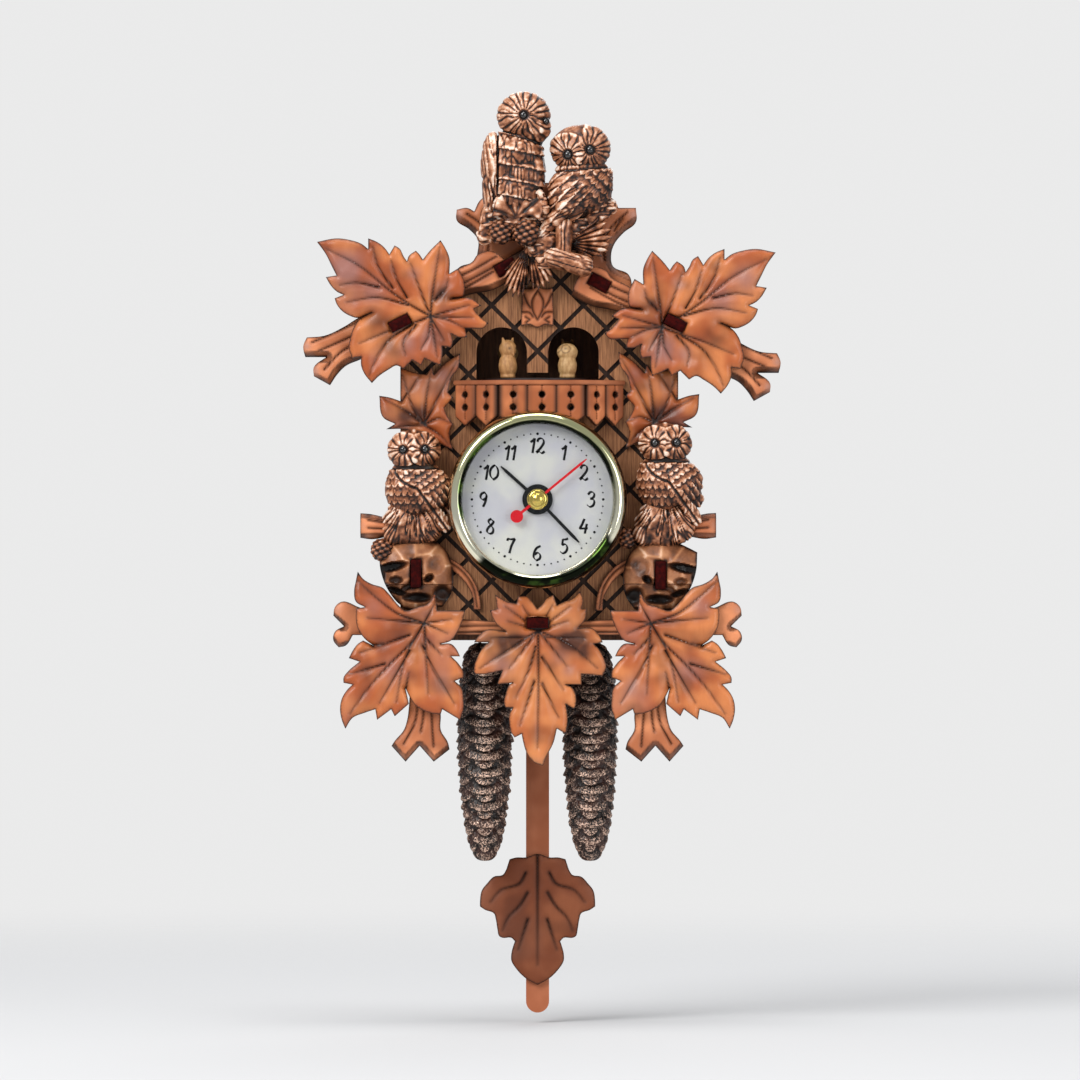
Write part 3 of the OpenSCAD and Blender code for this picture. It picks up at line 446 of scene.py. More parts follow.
# a smooth line through points that keeps its sharp corners
def flow(points, step=0.5, closed=True, corner=55):
    p = np.array(points, float)
    ahead, behind = np.roll(p, -1, 0), np.roll(p, 1, 0)
    if not closed:
        ahead[-1], behind[0] = 2 * p[-1] - p[-2], 2 * p[0] - p[1]
    inward, outward = p - behind, ahead - p
    sizeIn, sizeOut = np.linalg.norm(inward, axis=1), np.linalg.norm(outward, axis=1)
    sharp = (inward * outward).sum(1) / (sizeIn * sizeOut) < math.cos(math.radians(corner))
    lean = inward / sizeIn[:, None] + outward / sizeOut[:, None]
    lean /= np.maximum(np.linalg.norm(lean, axis=1), 1e-6)[:, None]
    made = []
    for i in range(len(p) if closed else len(p) - 1):
        j = (i + 1) % len(p)
        size = sizeOut[i]
        straight = (p[j] - p[i]) / size
        first = straight if sharp[i] else lean[i]
        last = straight if sharp[j] else lean[j]
        count = max(1, round(size / step))
        t = (np.arange(count) / count)[:, None]
        made.append((2 * t**3 - 3 * t**2 + 1) * p[i] + (t**3 - 2 * t**2 + t) * first * size
                    + (3 * t**2 - 2 * t**3) * p[j] + (t**3 - t**2) * last * size)
    if not closed:
        made.append(p[-1:])
    return np.vstack(made)


def nearest(points, trails):  # distance to the nearest trail, and how far along it, 0 to 1
    best, along = np.full(len(points), 1e9), np.zeros(len(points))
    rows = np.arange(len(points))
    for trail in trails:
        start, gap = trail[:-1], trail[1:] - trail[:-1]
        rel = points[:, None, :] - start[None]
        t = np.clip((rel * gap).sum(2) / np.maximum((gap**2).sum(1), 1e-9), 0, 1)
        away = np.linalg.norm(rel - t[..., None] * gap, axis=2)
        pick = away.argmin(1)
        closer = away[rows, pick] < best
        best[closer] = away[rows, pick][closer]
        along[closer] = ((pick + t[rows, pick]) / len(start))[closer]
    return best, along


def inside(points, loops):
    odd = np.zeros(len(points), bool)
    x, z = points[:, 0], points[:, 1]
    for loop in loops:
        for (x1, z1), (x2, z2) in zip(loop, np.roll(loop, -1, 0)):
            if z1 != z2:
                odd ^= ((z > z1) != (z > z2)) & (x < (x2 - x1) * (z - z1) / (z2 - z1) + x1)
    return odd


def mirrored(points, dx=0.0, dz=0.0):
    return [[-x + dx, z + dz] for x, z in reversed(points)]


def mirroredTrails(trails, dx=0.0, dz=0.0):
    return [[[-x + dx, z + dz] for x, z in trail] for trail in trails]


def flipped(shape, dx=0.0, dz=0.0):  # the mirror image of a whole carving
    made = {}
    for key, value in shape.items():
        if key in ("burn", "plum", "pale"):
            made[key] = [(dx - x, z + dz, radius, strength) for x, z, radius, strength in value]
        elif key in ("veins", "grooves", "under"):
            made[key] = mirroredTrails(value, dx, dz)
        else:
            made[key] = mirrored(value, dx, dz)
    return made


def ringOf(x, z, radius, corners):
    return [(x + radius * math.cos(a), z + radius * math.sin(a))
            for a in np.linspace(0, 2 * math.pi, corners, endpoint=False)]


def fan(root, *ribs):  # lines that all start at one point
    return [[root, *rib] for rib in ribs]


def boxAt(x, z, wide, tall, turn=0.0):  # the corners of a turned rectangle
    c, s = math.cos(math.radians(turn)), math.sin(math.radians(turn))
    return [[x + a * wide / 2 * c + b * tall / 2 * s, z - a * wide / 2 * s + b * tall / 2 * c]
            for a, b in ((-1, -1), (1, -1), (1, 1), (-1, 1))]


def addPiece(name, body, finish, points, faces, hidden=(), masks=None, crease=38):
    mesh = bpy.data.meshes.new(name)
    mesh.from_pydata((np.asarray(points) * mm).tolist(), [], faces)
    mesh.polygons.foreach_set("use_smooth", [True] * len(mesh.polygons))
    mesh.set_sharp_from_angle(angle=math.radians(crease))
    for key, values in (masks or {}).items():
        mesh.attributes.new(key, "FLOAT", "POINT").data.foreach_set("value", np.asarray(values, np.float32))
    piece = bpy.data.objects.new(name, mesh)
    bpy.context.scene.collection.objects.link(piece)
    dress(piece, finish)
    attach(piece, body)
    if hidden:
        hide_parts(*hidden)
    return piece


def plate(loops, back, front, cell=0.5):  # a board whose front face follows front(points, rim)
    outline = loops[0]
    ends = np.vstack(loops)
    edges, start = [], 0
    for loop in loops:
        edges += [(start + i, start + (i + 1) % len(loop)) for i in range(len(loop))]
        start += len(loop)
    low, high = outline.min(0), outline.max(0)
    zs = np.arange(low[1], high[1], cell * 0.866)
    gridX, gridZ = np.meshgrid(np.arange(low[0], high[0], cell), zs)
    gridX = gridX + (np.arange(len(zs)) % 2)[:, None] * cell / 2
    grid = np.c_[gridX.ravel(), gridZ.ravel()]
    closed = [np.vstack([loop, loop[:1]]) for loop in loops]
    grid = grid[inside(grid, loops)]
    grid = grid[nearest(grid, closed)[0] > cell * 0.5]
    made = delaunay_2d_cdt([Vector(p) for p in np.vstack([ends, grid])], edges, [], 1, 1e-6)
    flat, triangles = np.array([v[:] for v in made[0]]), np.array(made[2])
    triangles = triangles[inside(flat[triangles].mean(1), loops)]
    used, packed = np.unique(triangles, return_inverse=True)
    flat, triangles = flat[used], packed.reshape(-1, 3)
    rim = nearest(flat, closed)[0]
    count = len(flat)
    points = np.vstack([np.c_[flat[:, 0], front(flat, rim), flat[:, 1]],
                        np.c_[flat[:, 0], np.full(count, back), flat[:, 1]]])
    sides = {}
    for a, b, c in triangles.tolist():
        for edge in ((a, b), (b, c), (c, a)):
            if sides.pop(edge[::-1], None) is None:
                sides[edge] = True
    faces = triangles.tolist() + (triangles[:, ::-1] + count).tolist()
    faces += [(a, a + count, b + count, b) for a, b in sides]
    return points, faces, flat, rim


def spots(points, places):  # soft round patches: x, z, radius, strength
    total = np.zeros(len(points))
    for x, z, radius, strength in places:
        away = np.hypot(points[:, 0] - x, points[:, 1] - z)
        total = np.maximum(total, strength * np.exp(-(away / radius) ** 2))
    return total


# leaves
leafStyle = {"rimDrop": 1.0, "rimWidth": 0.8, "dome": 0.85, "groove": 0.75, "grooveWidth": 0.42,
             "lineWidth": 0.3, "wave": 0.5}


def addLeaf(name, leaf, front, back, hidden, seed, holes=(), finish="leafWood",
            body="case", style=leafStyle):
    loops = [flow(leaf["outline"])] + [np.array(hole, float) for hole in holes]
    trails = [flow(vein, 0.8, False, 80) for vein in leaf["veins"]]

    def shape(points, rim):
        vein, along = nearest(points, trails)
        sink = style["dome"] * np.exp(-(vein / 1.9) ** 2) * (1 - 0.5 * along)
        sink = sink + style["groove"] * np.exp(-(vein / style["grooveWidth"]) ** 2) * (1 - 0.6 * along)
        sink = sink + style["rimDrop"] * np.exp(-(rim / style["rimWidth"]) ** 1.5)
        sink = (sink + style["wave"] * (0.5 + 0.5 * fuzz(points, 6.5, seed))
                + 0.12 * fuzz(points, 2.2, seed + 3))
        return front + np.clip(sink, 0.02, (back - front) * 0.8)

    points, faces, flat, rim = plate(loops, back, shape)
    vein, along = nearest(flat, trails)
    line = np.exp(-(vein / style["lineWidth"]) ** 2) * (1 - 0.55 * along) * 1.1
    line = np.maximum(line, 1 - ease(rim, 0.12, 0.42))
    dark = spots(flat, leaf["burn"]) * (0.75 + 0.45 * fuzz(flat, 3, seed + 1))
    dark = (dark + 0.30 * np.exp(-(vein / 1.1) ** 2) * (1 - 0.6 * along)
            + 0.35 * ease(fuzz(flat, 7, seed + 2), 0.25, 0.9))
    tint = spots(flat, leaf["plum"]) + 0.4 * ease(fuzz(flat, 9, seed + 5), 0.2, 0.9)
    rest = np.ones(len(flat))
    masks = {"line": np.r_[line, 0.55 * rest], "burn": np.r_[np.clip(dark, 0, 1), rest],
             "plum": np.r_[np.clip(tint, 0, 1), 0 * rest]}
    addPiece(name, body, finish, points, faces, hidden, masks)


topLeaf = {
    "outline": [[-62.5, 13.5], [-57, 14.5], [-53, 14], [-50, 13], [-48, 11.5], [-48, 14.5], [-45.5, 13.5],
                [-43.5, 12], [-42, 10], [-40.5, 12.5], [-39, 11.5], [-38, 9.5], [-37, 8], [-36.5, 9.5],
                [-34.5, 11], [-33.5, 10], [-32.5, 8.5], [-30.5, 11], [-27.5, 14], [-26, 11.5], [-25, 9],
                [-25, 4.5], [-22.5, 6], [-21, 3], [-20.6, 0.5], [-21, -2], [-24, -2.5], [-19, -2.5],
                [-16, -4.5], [-18, -5.5], [-16.5, -7.5], [-14, -9.5], [-15.5, -11], [-18.5, -11],
                [-20.5, -11], [-20, -13.5], [-22.5, -13.5], [-24.5, -12.5], [-24, -14.5], [-24.5, -16.5],
                [-27, -16], [-27, -18.5], [-27.5, -21.5], [-30, -20.5], [-32, -19.5], [-33, -21.5],
                [-35.5, -20], [-38, -22.5], [-40, -21.5], [-42, -22.5], [-45, -24.5], [-47, -26.5],
                [-49, -24], [-50, -21.5], [-50, -19], [-52.5, -19.5], [-53.5, -16.5], [-53, -13.5],
                [-52, -10.5], [-50, -8], [-47, -6.5], [-51, -8], [-53, -7.5], [-55.5, -6], [-57, -4],
                [-57.5, -2.5], [-55, -1.5], [-57, -0.5], [-58.5, 1], [-60, 3.5], [-57, 4], [-58.5, 7],
                [-60, 10]],
    "veins": fan([-30.3, -7.6], [[-36.6, -4], [-41.9, -0.3], [-50.1, 6.4], [-59.8, 11.5]],
                 [[-29.9, -2.9], [-27.7, 12]], [[-32.2, -2.9], [-35.9, 7.2]], [[-19.3, -4.4]],
                 [[-18.5, -8]], [[-25.8, -8.5], [-20.6, -11]], [[-30.9, -13], [-33, -17]], [[-28.4, -19.3]],
                 [[-26.6, -14.5]], [[-35.5, -9.6], [-41.9, -11.7], [-50.5, -15.3]])
    + [[[-37, -2.3], [-39.6, 2.3], [-41.5, 8.3]], [[-41.1, 0.5], [-44.9, 6], [-46.7, 12]],
       [[-36.6, -4.4], [-45.6, -2.3], [-54, -3.6]], [[-44.9, 0.6], [-51.2, 1.9], [-55.9, 1.3]],
       [[-35.8, -10], [-41.9, -14.1], [-45.2, -18.6], [-47.7, -24.2]],
       [[-34.4, -10], [-38, -15], [-37.4, -18.6]], [[-29.2, -3], [-26, 0.5], [-25.3, 3]],
       [[-50, -8], [-46.5, -6.5]], [[-24.6, -2.6], [-20.6, -2]]],
    "burn": [(-45, -9.5, 3.6, 0.75), (-41, -17.5, 2.8, 0.6), (-27.3, -1.5, 2.6, 0.9),
             (-41.5, 5.5, 1.6, 0.5), (-37.3, 4.5, 1.5, 0.5), (-45.8, 9.5, 1.5, 0.45), (-26.6, 9, 1.8, 0.45),
             (-36.7, 7.6, 1.0, 0.8)],
    "plum": [(-54, 6, 4, 0.9), (-47, -0.5, 4, 0.8), (-30.5, -13.5, 3.6, 0.7), (-36.5, -15, 2.6, 0.7),
             (-35, 4.5, 2, 0.6)],
}
topPegs = {"left": (-39, -9.5, -27), "right": (39, -9.5, 27)}
for side, leaf, seed in (("left", topLeaf, 3), ("right", flipped(topLeaf, 5, -3), 14)):
    x, z, turn = topPegs[side]
    addLeaf("topLeaf_" + side, leaf, -42, -38, ["top_leaf_" + side], seed, [boxAt(x, z, 6, 3, turn)])

lowerLeaf = {
    "outline": [[-51, -80], [-49.5, -82], [-47, -83.5], [-44, -84.5], [-42, -86.5], [-39.5, -89.5],
                [-37.5, -91], [-34, -90], [-31, -89], [-29, -85.5], [-28.5, -91], [-24.5, -91],
                [-20.5, -91], [-21.5, -94.5], [-23, -97.5], [-24.5, -99.5], [-27.5, -100.5],
                [-24.5, -100.5], [-23, -102], [-22, -104], [-24.5, -104], [-22.5, -106], [-21, -108.5],
                [-21, -110], [-23.5, -111], [-21.5, -113], [-21, -116], [-21, -119], [-22, -122],
                [-24.5, -120.5], [-27, -119], [-27.5, -120.5], [-30.5, -120], [-33, -119], [-35, -117.5],
                [-37.5, -113], [-36.5, -117.5], [-40.5, -121], [-41.5, -119], [-45.5, -122], [-46, -119],
                [-49, -120], [-52.5, -121.5], [-54.5, -124.5], [-55.5, -122], [-56, -119], [-55.5, -116],
                [-54, -113.5], [-52.5, -112], [-55, -111.5], [-55, -110], [-53.5, -108], [-50.5, -105.5],
                [-53.5, -104.5], [-52.5, -102.5], [-51, -100.5], [-49.5, -99.5], [-46.5, -101], [-49, -99],
                [-51, -96], [-51.5, -93.5], [-51.5, -90.5], [-49, -90], [-51.5, -88.5], [-52, -85.5],
                [-51.5, -82.5]],
    "veins": fan([-32.1, -94.6], [[-35.9, -100.2], [-41.8, -106.1], [-47.8, -112.8], [-53.2, -120.3]],
                 [[-39.6, -91.9], [-45.2, -87.8], [-51.2, -82.4]], [[-48.2, -93.1]],
                 [[-37.4, -104.3], [-40, -117]], [[-31, -114.7]], [[-28.9, -88.5]], [[-24.5, -93.5]],
                 [[-25.5, -97.5]])
    + [[[-36.2, -97.9], [-50.4, -103]], [[-43.3, -106.1], [-53.4, -109.1]],
       [[-36.2, -102.4], [-44.8, -117.3]], [[-32.5, -100.9], [-30.3, -106.1], [-23.6, -117.3]],
       [[-31.8, -98.7], [-27.3, -103.5]], [[-47, -101], [-43, -100.2]], [[-37.3, -113], [-36.4, -108.5]]],
    "burn": [(-38, -95.5, 3.4, 0.6), (-33, -100, 3, 0.6), (-44, -101.5, 2.6, 0.5), (-48, -108.5, 2.6, 0.45),
             (-35, -110, 2, 0.5)],
    "plum": [(-41, -108, 4, 0.6), (-46.5, -90, 3, 0.5), (-27, -112, 3, 0.6), (-32, -92, 2.4, 0.5)],
}
for side, leaf, seed in (("left", lowerLeaf, 21), ("right", flipped(lowerLeaf), 33)):
    addLeaf("lowerLeaf_" + side, leaf, -41, -37, ["lower_leaf_" + side], seed)

centreLeaf = {
    "outline": [[0, -90.5], [-1.5, -88.5], [-3, -87], [-5.5, -87], [-6, -89], [-8.5, -88.5], [-12, -86.5],
                [-11.5, -90.5], [-13.5, -91], [-13, -92.5], [-11.5, -95], [-9, -97], [-14.5, -96.5],
                [-17, -98.5], [-18, -100], [-14, -100], [-15.5, -101.5], [-17, -104], [-18, -107],
                [-18, -109], [-15, -109], [-10, -108], [-11.5, -112], [-7, -111.5], [-8, -112],
                [-9, -114.5], [-9.5, -117.5], [-9, -118.5], [-7, -118.5], [-8, -120.5], [-8, -123],
                [-7.5, -125.5], [-6.5, -127], [-4.5, -126], [-4, -128.5], [-3, -131.5], [-1, -134],
                [1.5, -135], [2.5, -132.5], [4.5, -128.5], [5.5, -124.5], [8, -126], [8.5, -123],
                [8.5, -120.5], [8, -117.5], [10.5, -119], [11, -116.5], [10, -113], [8, -112], [12.5, -112],
                [12.5, -109], [18.5, -109.5], [19.5, -107], [19, -105], [17.5, -102], [16, -100.5],
                [18.5, -100], [17.5, -98], [15.5, -96], [11.5, -96], [13.5, -93.5], [14, -90.5],
                [12.5, -90.5], [13, -88], [12, -85.5], [10, -87.5], [7.5, -88.5], [5.5, -89.5],
                [4.5, -86.5], [2.5, -87.5], [1.5, -89]],
    "veins": fan([0.2, -96.6], [[0.3, -112], [0, -130]], [[-9.6, -103], [-16.4, -107.4]], [[-8.1, -107.4]],
                 [[9.6, -101], [17, -107.4]], [[8.4, -106.8]], [[-9.2, -89.8]], [[-8.5, -94]],
                 [[-4.3, -89.4]], [[9.2, -89.8]], [[8.5, -94]], [[4.3, -89.4]])
    + [[[-0.5, -101.3], [-2.3, -107.4], [-6.1, -115.7]], [[-0.9, -111], [-5, -123.6]],
       [[1.3, -104.2], [7.4, -113.5]], [[1.3, -111.7], [6, -121.4]], [[-2.3, -98.4], [-13.2, -98.8]],
       [[2.3, -98.4], [13.2, -98.8]]],
    "burn": [(-11, -101.5, 3.4, 1.6), (-6.5, -99.7, 2.4, 1.4), (9.5, -99.3, 3.6, 2), (13.5, -102, 2.4, 1.4),
             (4.2, -106.5, 1.6, 0.4)],
    "plum": [(-10, -106.5, 3.2, 0.9), (6.5, -104, 2.8, 0.6), (8.8, -108, 2, 0.7)],
}
addLeaf("centreLeaf", centreLeaf, -41, -37, ["lower_leaf_center"], 47, [boxAt(0, -94.5, 6, 3)], "leafPale")

sideLeaf = {
    "outline": [[-45, -30], [-42, -30.5], [-39, -31.5], [-39, -22], [-34.5, -23.5], [-31.5, -24],
                [-30, -21.5], [-29.5, -24], [-26, -20.5], [-22, -18], [-22.5, -22], [-24.5, -25],
                [-25.5, -29], [-24, -30.5], [-26.5, -33.5], [-25.5, -36], [-24, -38], [-25, -40.5],
                [-24, -45.5], [-29, -43], [-33, -41], [-38, -39.5], [-43, -39.5], [-40.5, -38], [-44, -36]],
    "veins": fan([-32.2, -38.3], [[-38, -34], [-43.5, -31]], [[-35.5, -33], [-38.4, -24]],
                 [[-31.5, -30], [-30.3, -23]], [[-28.5, -31], [-23, -20]], [[-28, -36.5], [-25, -37.6]],
                 [[-28, -41], [-25, -44]], [[-37.5, -38.6], [-42, -39.2]])
    + [[[-38.8, -31.7], [-36, -28], [-33.5, -24.3]]],
    "burn": [(-33, -35, 3, 0.8), (-37.5, -36, 2.6, 0.7), (-29, -28, 2.4, 0.6), (-36.5, -27.5, 2, 0.4)],
    "plum": [(-38, -38.8, 3, 0.8), (-27, -24, 2.4, 0.5)],
}
addLeaf("sideLeaf_left", sideLeaf, -35, -32, ["side_leaves"], 52)
addLeaf("sideLeaf_right", flipped(sideLeaf, 1, 0.5), -35, -32, [], 61)

bob = {
    "half": [[0, -161], [3.5, -162], [6, -162], [8, -162.5], [8.5, -164], [9, -165.5], [10, -167],
             [12.5, -167.5], [14.5, -169.5], [16, -171.5], [16.5, -174.5], [16.5, -176], [15, -177],
             [12.5, -178], [12, -179.5], [11.5, -182.5], [11, -184.5], [10, -185], [7.5, -185], [6.5, -186],
             [7, -187.5], [7.5, -189.5], [7.5, -191.5], [6, -194], [3.5, -196.5], [0, -198.5]],
    "veins": [[[3.4, -166.3], [5.1, -169.3], [10.5, -171.3], [13.5, -174.7]],
              [[2.9, -172], [5.1, -175.7], [8.5, -179.3], [10.1, -183]], [[2.8, -179.7], [5.5, -188.3]]],
}
bobLeaf = {
    "outline": mirrored(bob["half"][1:-1]) + bob["half"],
    "veins": [[[0, -161.5], [0, -192.7]]] + bob["veins"] + mirroredTrails(bob["veins"]),
    "burn": [],
    "plum": [],
}
bobStyle = {**leafStyle, "rimDrop": 0.5, "dome": 0.3, "groove": 0.7, "grooveWidth": 0.45, "wave": 0.12,
            "lineWidth": 0.4}
addLeaf("pendulumLeaf", bobLeaf, -14.2, -12, ["pendulum_leaf"], 71, (), "pendulumWood",
        "pendulum", bobStyle)
print("leaves ready")


# branches, rail and crest board
def addLimb(name, limb, front, back, hidden, seed, holes=(), bevel=1.6, cell=0.5, wave=0.5):
    loops = [flow(limb["outline"])] + [np.array(hole, float) for hole in holes]
    trails = [flow(groove, 0.8, False, 80) for groove in limb["grooves"]]
    edges = ([flow(edge, 0.8, False, 80) for edge in limb.get("under", [])]
             or [np.array([[900.0, 900.0], [901.0, 900.0]])])

    def shape(points, rim):
        groove = nearest(points, trails)[0]
        edge = nearest(points, edges)[0]
        sink = 0.7 * np.exp(-(groove / 0.4) ** 2) + 0.7 * np.exp(-(rim / 0.7) ** 1.5)
        sink = sink + 2.2 * np.clip(1 - edge / bevel, 0, 1) + wave * (0.5 + 0.5 * fuzz(points, 4.5, seed))
        return front + np.clip(sink, 0.02, (back - front) * 0.75)

    points, faces, flat, rim = plate(loops, back, shape, cell)
    groove, edge = nearest(flat, trails)[0], nearest(flat, edges)[0]
    line = np.maximum(0.9 * np.exp(-(groove / 0.28) ** 2), 1 - ease(rim, 0.12, 0.42))
    line = np.maximum(line, 0.6 * np.exp(-((edge - bevel) / 0.18) ** 2))
    light = spots(flat, limb.get("pale", []))
    # painted shade: the bevel along each under edge is darkened; the code also darkens beside the grooves
    # and in random patches
    dark = ((1 - ease(edge, bevel - 0.15, bevel + 0.1)) * (0.75 + 0.4 * fuzz(flat, 2, seed + 1))
            + 0.18 * np.exp(-(groove / 0.7) ** 2))
    dark = (dark + 0.35 * ease(fuzz(flat, 5, seed + 2), 0.1, 0.9)) * (1 - light)
    rest = np.ones(len(flat))
    masks = {"line": np.r_[line * (1 - light), 0.4 * rest], "burn": np.r_[np.clip(dark, 0, 1), rest],
             "plum": np.r_[np.clip(light, 0, 1), 0 * rest]}
    addPiece(name, "case", "branchWood", points, faces, hidden, masks)


roofBranch = {
    "outline": [[-65.5, -13.5], [-66.5, -16], [-66, -19], [-60, -19], [-63.5, -22], [-63.5, -24.5],
                [-59, -27], [-57, -24], [-54.5, -21.5], [-50, -19.5], [-20, -1.5], [-13, 0], [-7, 3],
                [-9, 8], [-13, 11], [-17, 10], [-18.5, 8], [-22.5, 6], [-25, 4.5], [-51, -8], [-55, -10.5],
                [-60.5, -13]],
    "grooves": [[[-64, -15], [-52, -9.6], [-36, -1.5], [-19.4, 5.1], [-11.6, 9.5]],
                [[-62, -17.3], [-50, -12], [-35, -4], [-19.4, 2.7], [-12.1, 6.6]],
                [[-52, -15], [-35, -6], [-19.4, 1.2], [-12.6, 5.1]],
                [[-60.5, -22.6], [-55.5, -17.5], [-48, -14]]],
    "under": [[[-66.5, -19.2], [-60, -19]],
              [[-63.5, -25.2], [-59, -27], [-57, -24], [-54.5, -21.5], [-50, -19.5], [-20, -1.5], [-13, 0],
               [-7, 3]]],
    "pale": [(-65.6, -16, 1.3, 1.0), (-63.2, -23.2, 1.4, 1.0)],
}
addLimb("roofBranch_left", roofBranch, -38, -32, ["roof_branch_left"], 5, [boxAt(-9, 6.5, 6, 3.5, -28)])
addLimb("roofBranch_right", flipped(roofBranch, 2.5, -4.5), -38, -32, ["roof_branch_right"], 9,
        [boxAt(17.5, 2, 6, 3.5, 28)])

crest = {
    "outline": [[-26, -1.1], [-22.5, 6.5], [-18, 8.5], [-17, 11.5], [-17, 14.5], [-19.5, 17.5], [-23, 20],
                [-23, 23], [-20, 23.5], [-18, 22.5], [-16.5, 25.5], [-14.5, 27], [-11, 29], [16, 29],
                [20, 27], [22, 25.5], [23, 23.5], [28, 23.5], [28, 19.5], [24.5, 16.5], [22, 13.5],
                [21, 10.5], [21.5, 7], [26, 4.5], [27, -1.7], [0, 13.9]],
    "grooves": [[[-20, 21.7], [-15.6, 18.4], [-13.9, 14.5], [-14.2, 10]],
                [[25.5, 22.3], [20.6, 17.5], [18.6, 12.5], [19, 8.5]], [[24, 20.4], [21.6, 17]]],
    "under": [[[-22.5, 6.5], [-18, 8.5], [-17, 11.5], [-17, 14.5], [-19.5, 17.5], [-23, 20]],
              [[28, 19.5], [24.5, 16.5], [22, 13.5], [21, 10.5], [21.5, 7], [26, 4.5]]],
    "pale": [(-22.4, 21.7, 1.5, 1.0), (27.3, 21.6, 1.6, 1.0)],
}
addLimb("crestBoard", crest, -32, -28, ["crest_board"], 15, bevel=1.5)

railEnd = {
    "outline": [[-45, -98], [-52.5, -98], [-54.5, -101], [-56.5, -101.5], [-58, -99.5], [-57.5, -97],
                [-55, -95.5], [-58, -92.5], [-57.5, -90], [-55.5, -88.5], [-50, -90.3]],
    "under": [[[-58.5, -100], [-56.5, -101.9], [-54.3, -101.2]], [[-58.4, -93], [-55.2, -95.6]]],
    "pale": [(-57, -90.8, 1.3, 0.7)],
}
rail = {key: value + flipped(railEnd)[key] for key, value in railEnd.items()}
rail["grooves"] = [[[-50, z], [50, z]] for z in (-93.2, -95.3, -97.2)]
addLimb("baseRail", rail, -37, -32, ["base_rail"], 25, bevel=1.4, wave=0.3)

twig = {
    "outline": [[-36, -106], [-36.5, -118], [-37, -122], [-38, -125], [-40.5, -128], [-41.5, -129.5],
                [-37.5, -134], [-33.5, -129.5], [-29.5, -134], [-25, -130.5], [-25.5, -128.5],
                [-27.5, -125], [-27.5, -121], [-29, -106]],
    "grooves": [[[-34.2, -108], [-34.6, -122], [-38, -129]],
                [[-32.4, -108], [-32.4, -121], [-33.2, -125.5]],
                [[-30.4, -108], [-30, -122], [-29.5, -129.5]]],
    "under": [[[-41.9, -129.6], [-37.6, -134.2]], [[-37.3, -134], [-33.5, -129.6], [-29.6, -134.2]],
              [[-29.3, -134.2], [-24.8, -130.6]]],
}
addLimb("lowerTwig_left", twig, -37, -33, ["lower_twigs"], 35, bevel=1.5)
addLimb("lowerTwig_right", flipped(twig), -37, -33, [], 37, bevel=1.5)

budGrooves = [[[0, 0], [-1.6, -3], [-1.3, -6], [0, -8.4]], [[-4.2, -6.2], [-2.2, -6.4], [-1.2, -7.6]],
              [[-4, -1], [-3, -3.5], [-2, -5]], [[-3.4, -7.6], [-2.2, -8.4], [-3.2, -9.2]]]
bud = {
    "outline": [[-4.7, 0.8], [-2.2, 0.4], [0, 1], [2.2, 0.4], [4.5, 0.8], [4.4, -3], [4.6, -6],
                [4.5, -10.2], [2.4, -9.7], [0, -10.6], [-2.4, -9.7], [-4.7, -10.2], [-4.6, -6], [-4.4, -3]],
    "grooves": budGrooves + mirroredTrails(budGrooves),
}
addLimb("keystoneBud", bud, -34.5, -32, ["keystone_plaque"], 41, bevel=0.4, cell=0.3, wave=0.6)

dialTwig = {  # the twigs that frame the dial, below the side owls
    "outline": [[-31.5, -77], [-27, -78.4], [-23, -80.6], [-20, -84], [-18.4, -87.5], [-18.2, -90.8],
                [-16, -90.8], [-16.4, -87], [-18, -82.6], [-21.2, -78.6], [-25.5, -75.9], [-31, -74.6]],
    "grooves": [[[-31, -75.6], [-25.8, -77], [-21.6, -79.6], [-18.4, -84], [-17.2, -90]]],
}
for side, limb in (("left", dialTwig), ("right", flipped(dialTwig, 0.4, -0.3))):
    addLimb("dialTwig_" + side, limb, -34.2, -32, [], 43, bevel=0.4, cell=0.4, wave=0.3)

pegs = [("leafPeg_left", -41.6, -38, boxAt(-39, -9.5, 5.9, 2.9, -27)),
        ("leafPeg_right", -41.6, -38, boxAt(39, -9.5, 5.9, 2.9, 27)),
        ("roofPeg_left", -37.9, -32, boxAt(-9, 6.5, 5.9, 3.4, -28)),
        ("roofPeg_right", -37.9, -32, boxAt(17.5, 2, 5.9, 3.4, 28)),
        ("centrePeg", -40.8, -37, boxAt(0, -94.5, 5.9, 2.9)),
        ("stumpPeg_left", -39.8, -32, boxAt(-34.5, -80.5, 2.9, 7.9)),
        ("stumpPeg_right", -39.8, -32, boxAt(34.9, -81, 2.9, 7.9))]
for name, front, back, corners in pegs:
    made = plate([np.array(corners)], back, lambda flat, rim: front + 0.35 * np.exp(-(rim / 0.3) ** 2), 0.4)
    addPiece(name, "case", "pegWood", made[0], made[1],
             ["carving_pegs"] if name == "centrePeg" else [])
print("branches ready")


# cast owls and ornaments
def scales(u, v, long, wide):  # overlapping feather tips running down u: height, 0 to 1
    row = np.floor(u / long)

    def tip(k):
        shift = 0.5 * np.mod(k, 2)
        side = (v / wide - shift) - np.floor(v / wide - shift) - 0.5
        away = u - k * long
        reach = long * (1 + 0.65 * np.sqrt(np.clip(1 - (2 * side) ** 2, 0, 1)))
        return away, reach, side
    away, reach, side = tip(row)
    height = 0.25 + 0.75 * (away / reach) ** 1.3 - 0.9 * side**2
    above, far, across = tip(row - 1)
    over = above < far
    return np.where(over, 0.25 + 0.75 * (above / far) ** 1.3 - 0.9 * across**2, height)


def turned(points, x, z, degrees):  # distance down and across, from x, z, when down is turned anticlockwise
    c, s = math.cos(math.radians(degrees)), math.sin(math.radians(degrees))
    dx, dz = points[:, 0] - x, points[:, 2] - z
    return -dz * c + dx * s, dx * c + dz * s


def strokes(along, across, long, wide, seed=0):  # knife lines running along: 0 in a line and 1 between them
    wander = fuzz(np.c_[along / long, across / wide], 1, seed)
    return 1 - np.exp(-(wander / 0.2) ** 2)


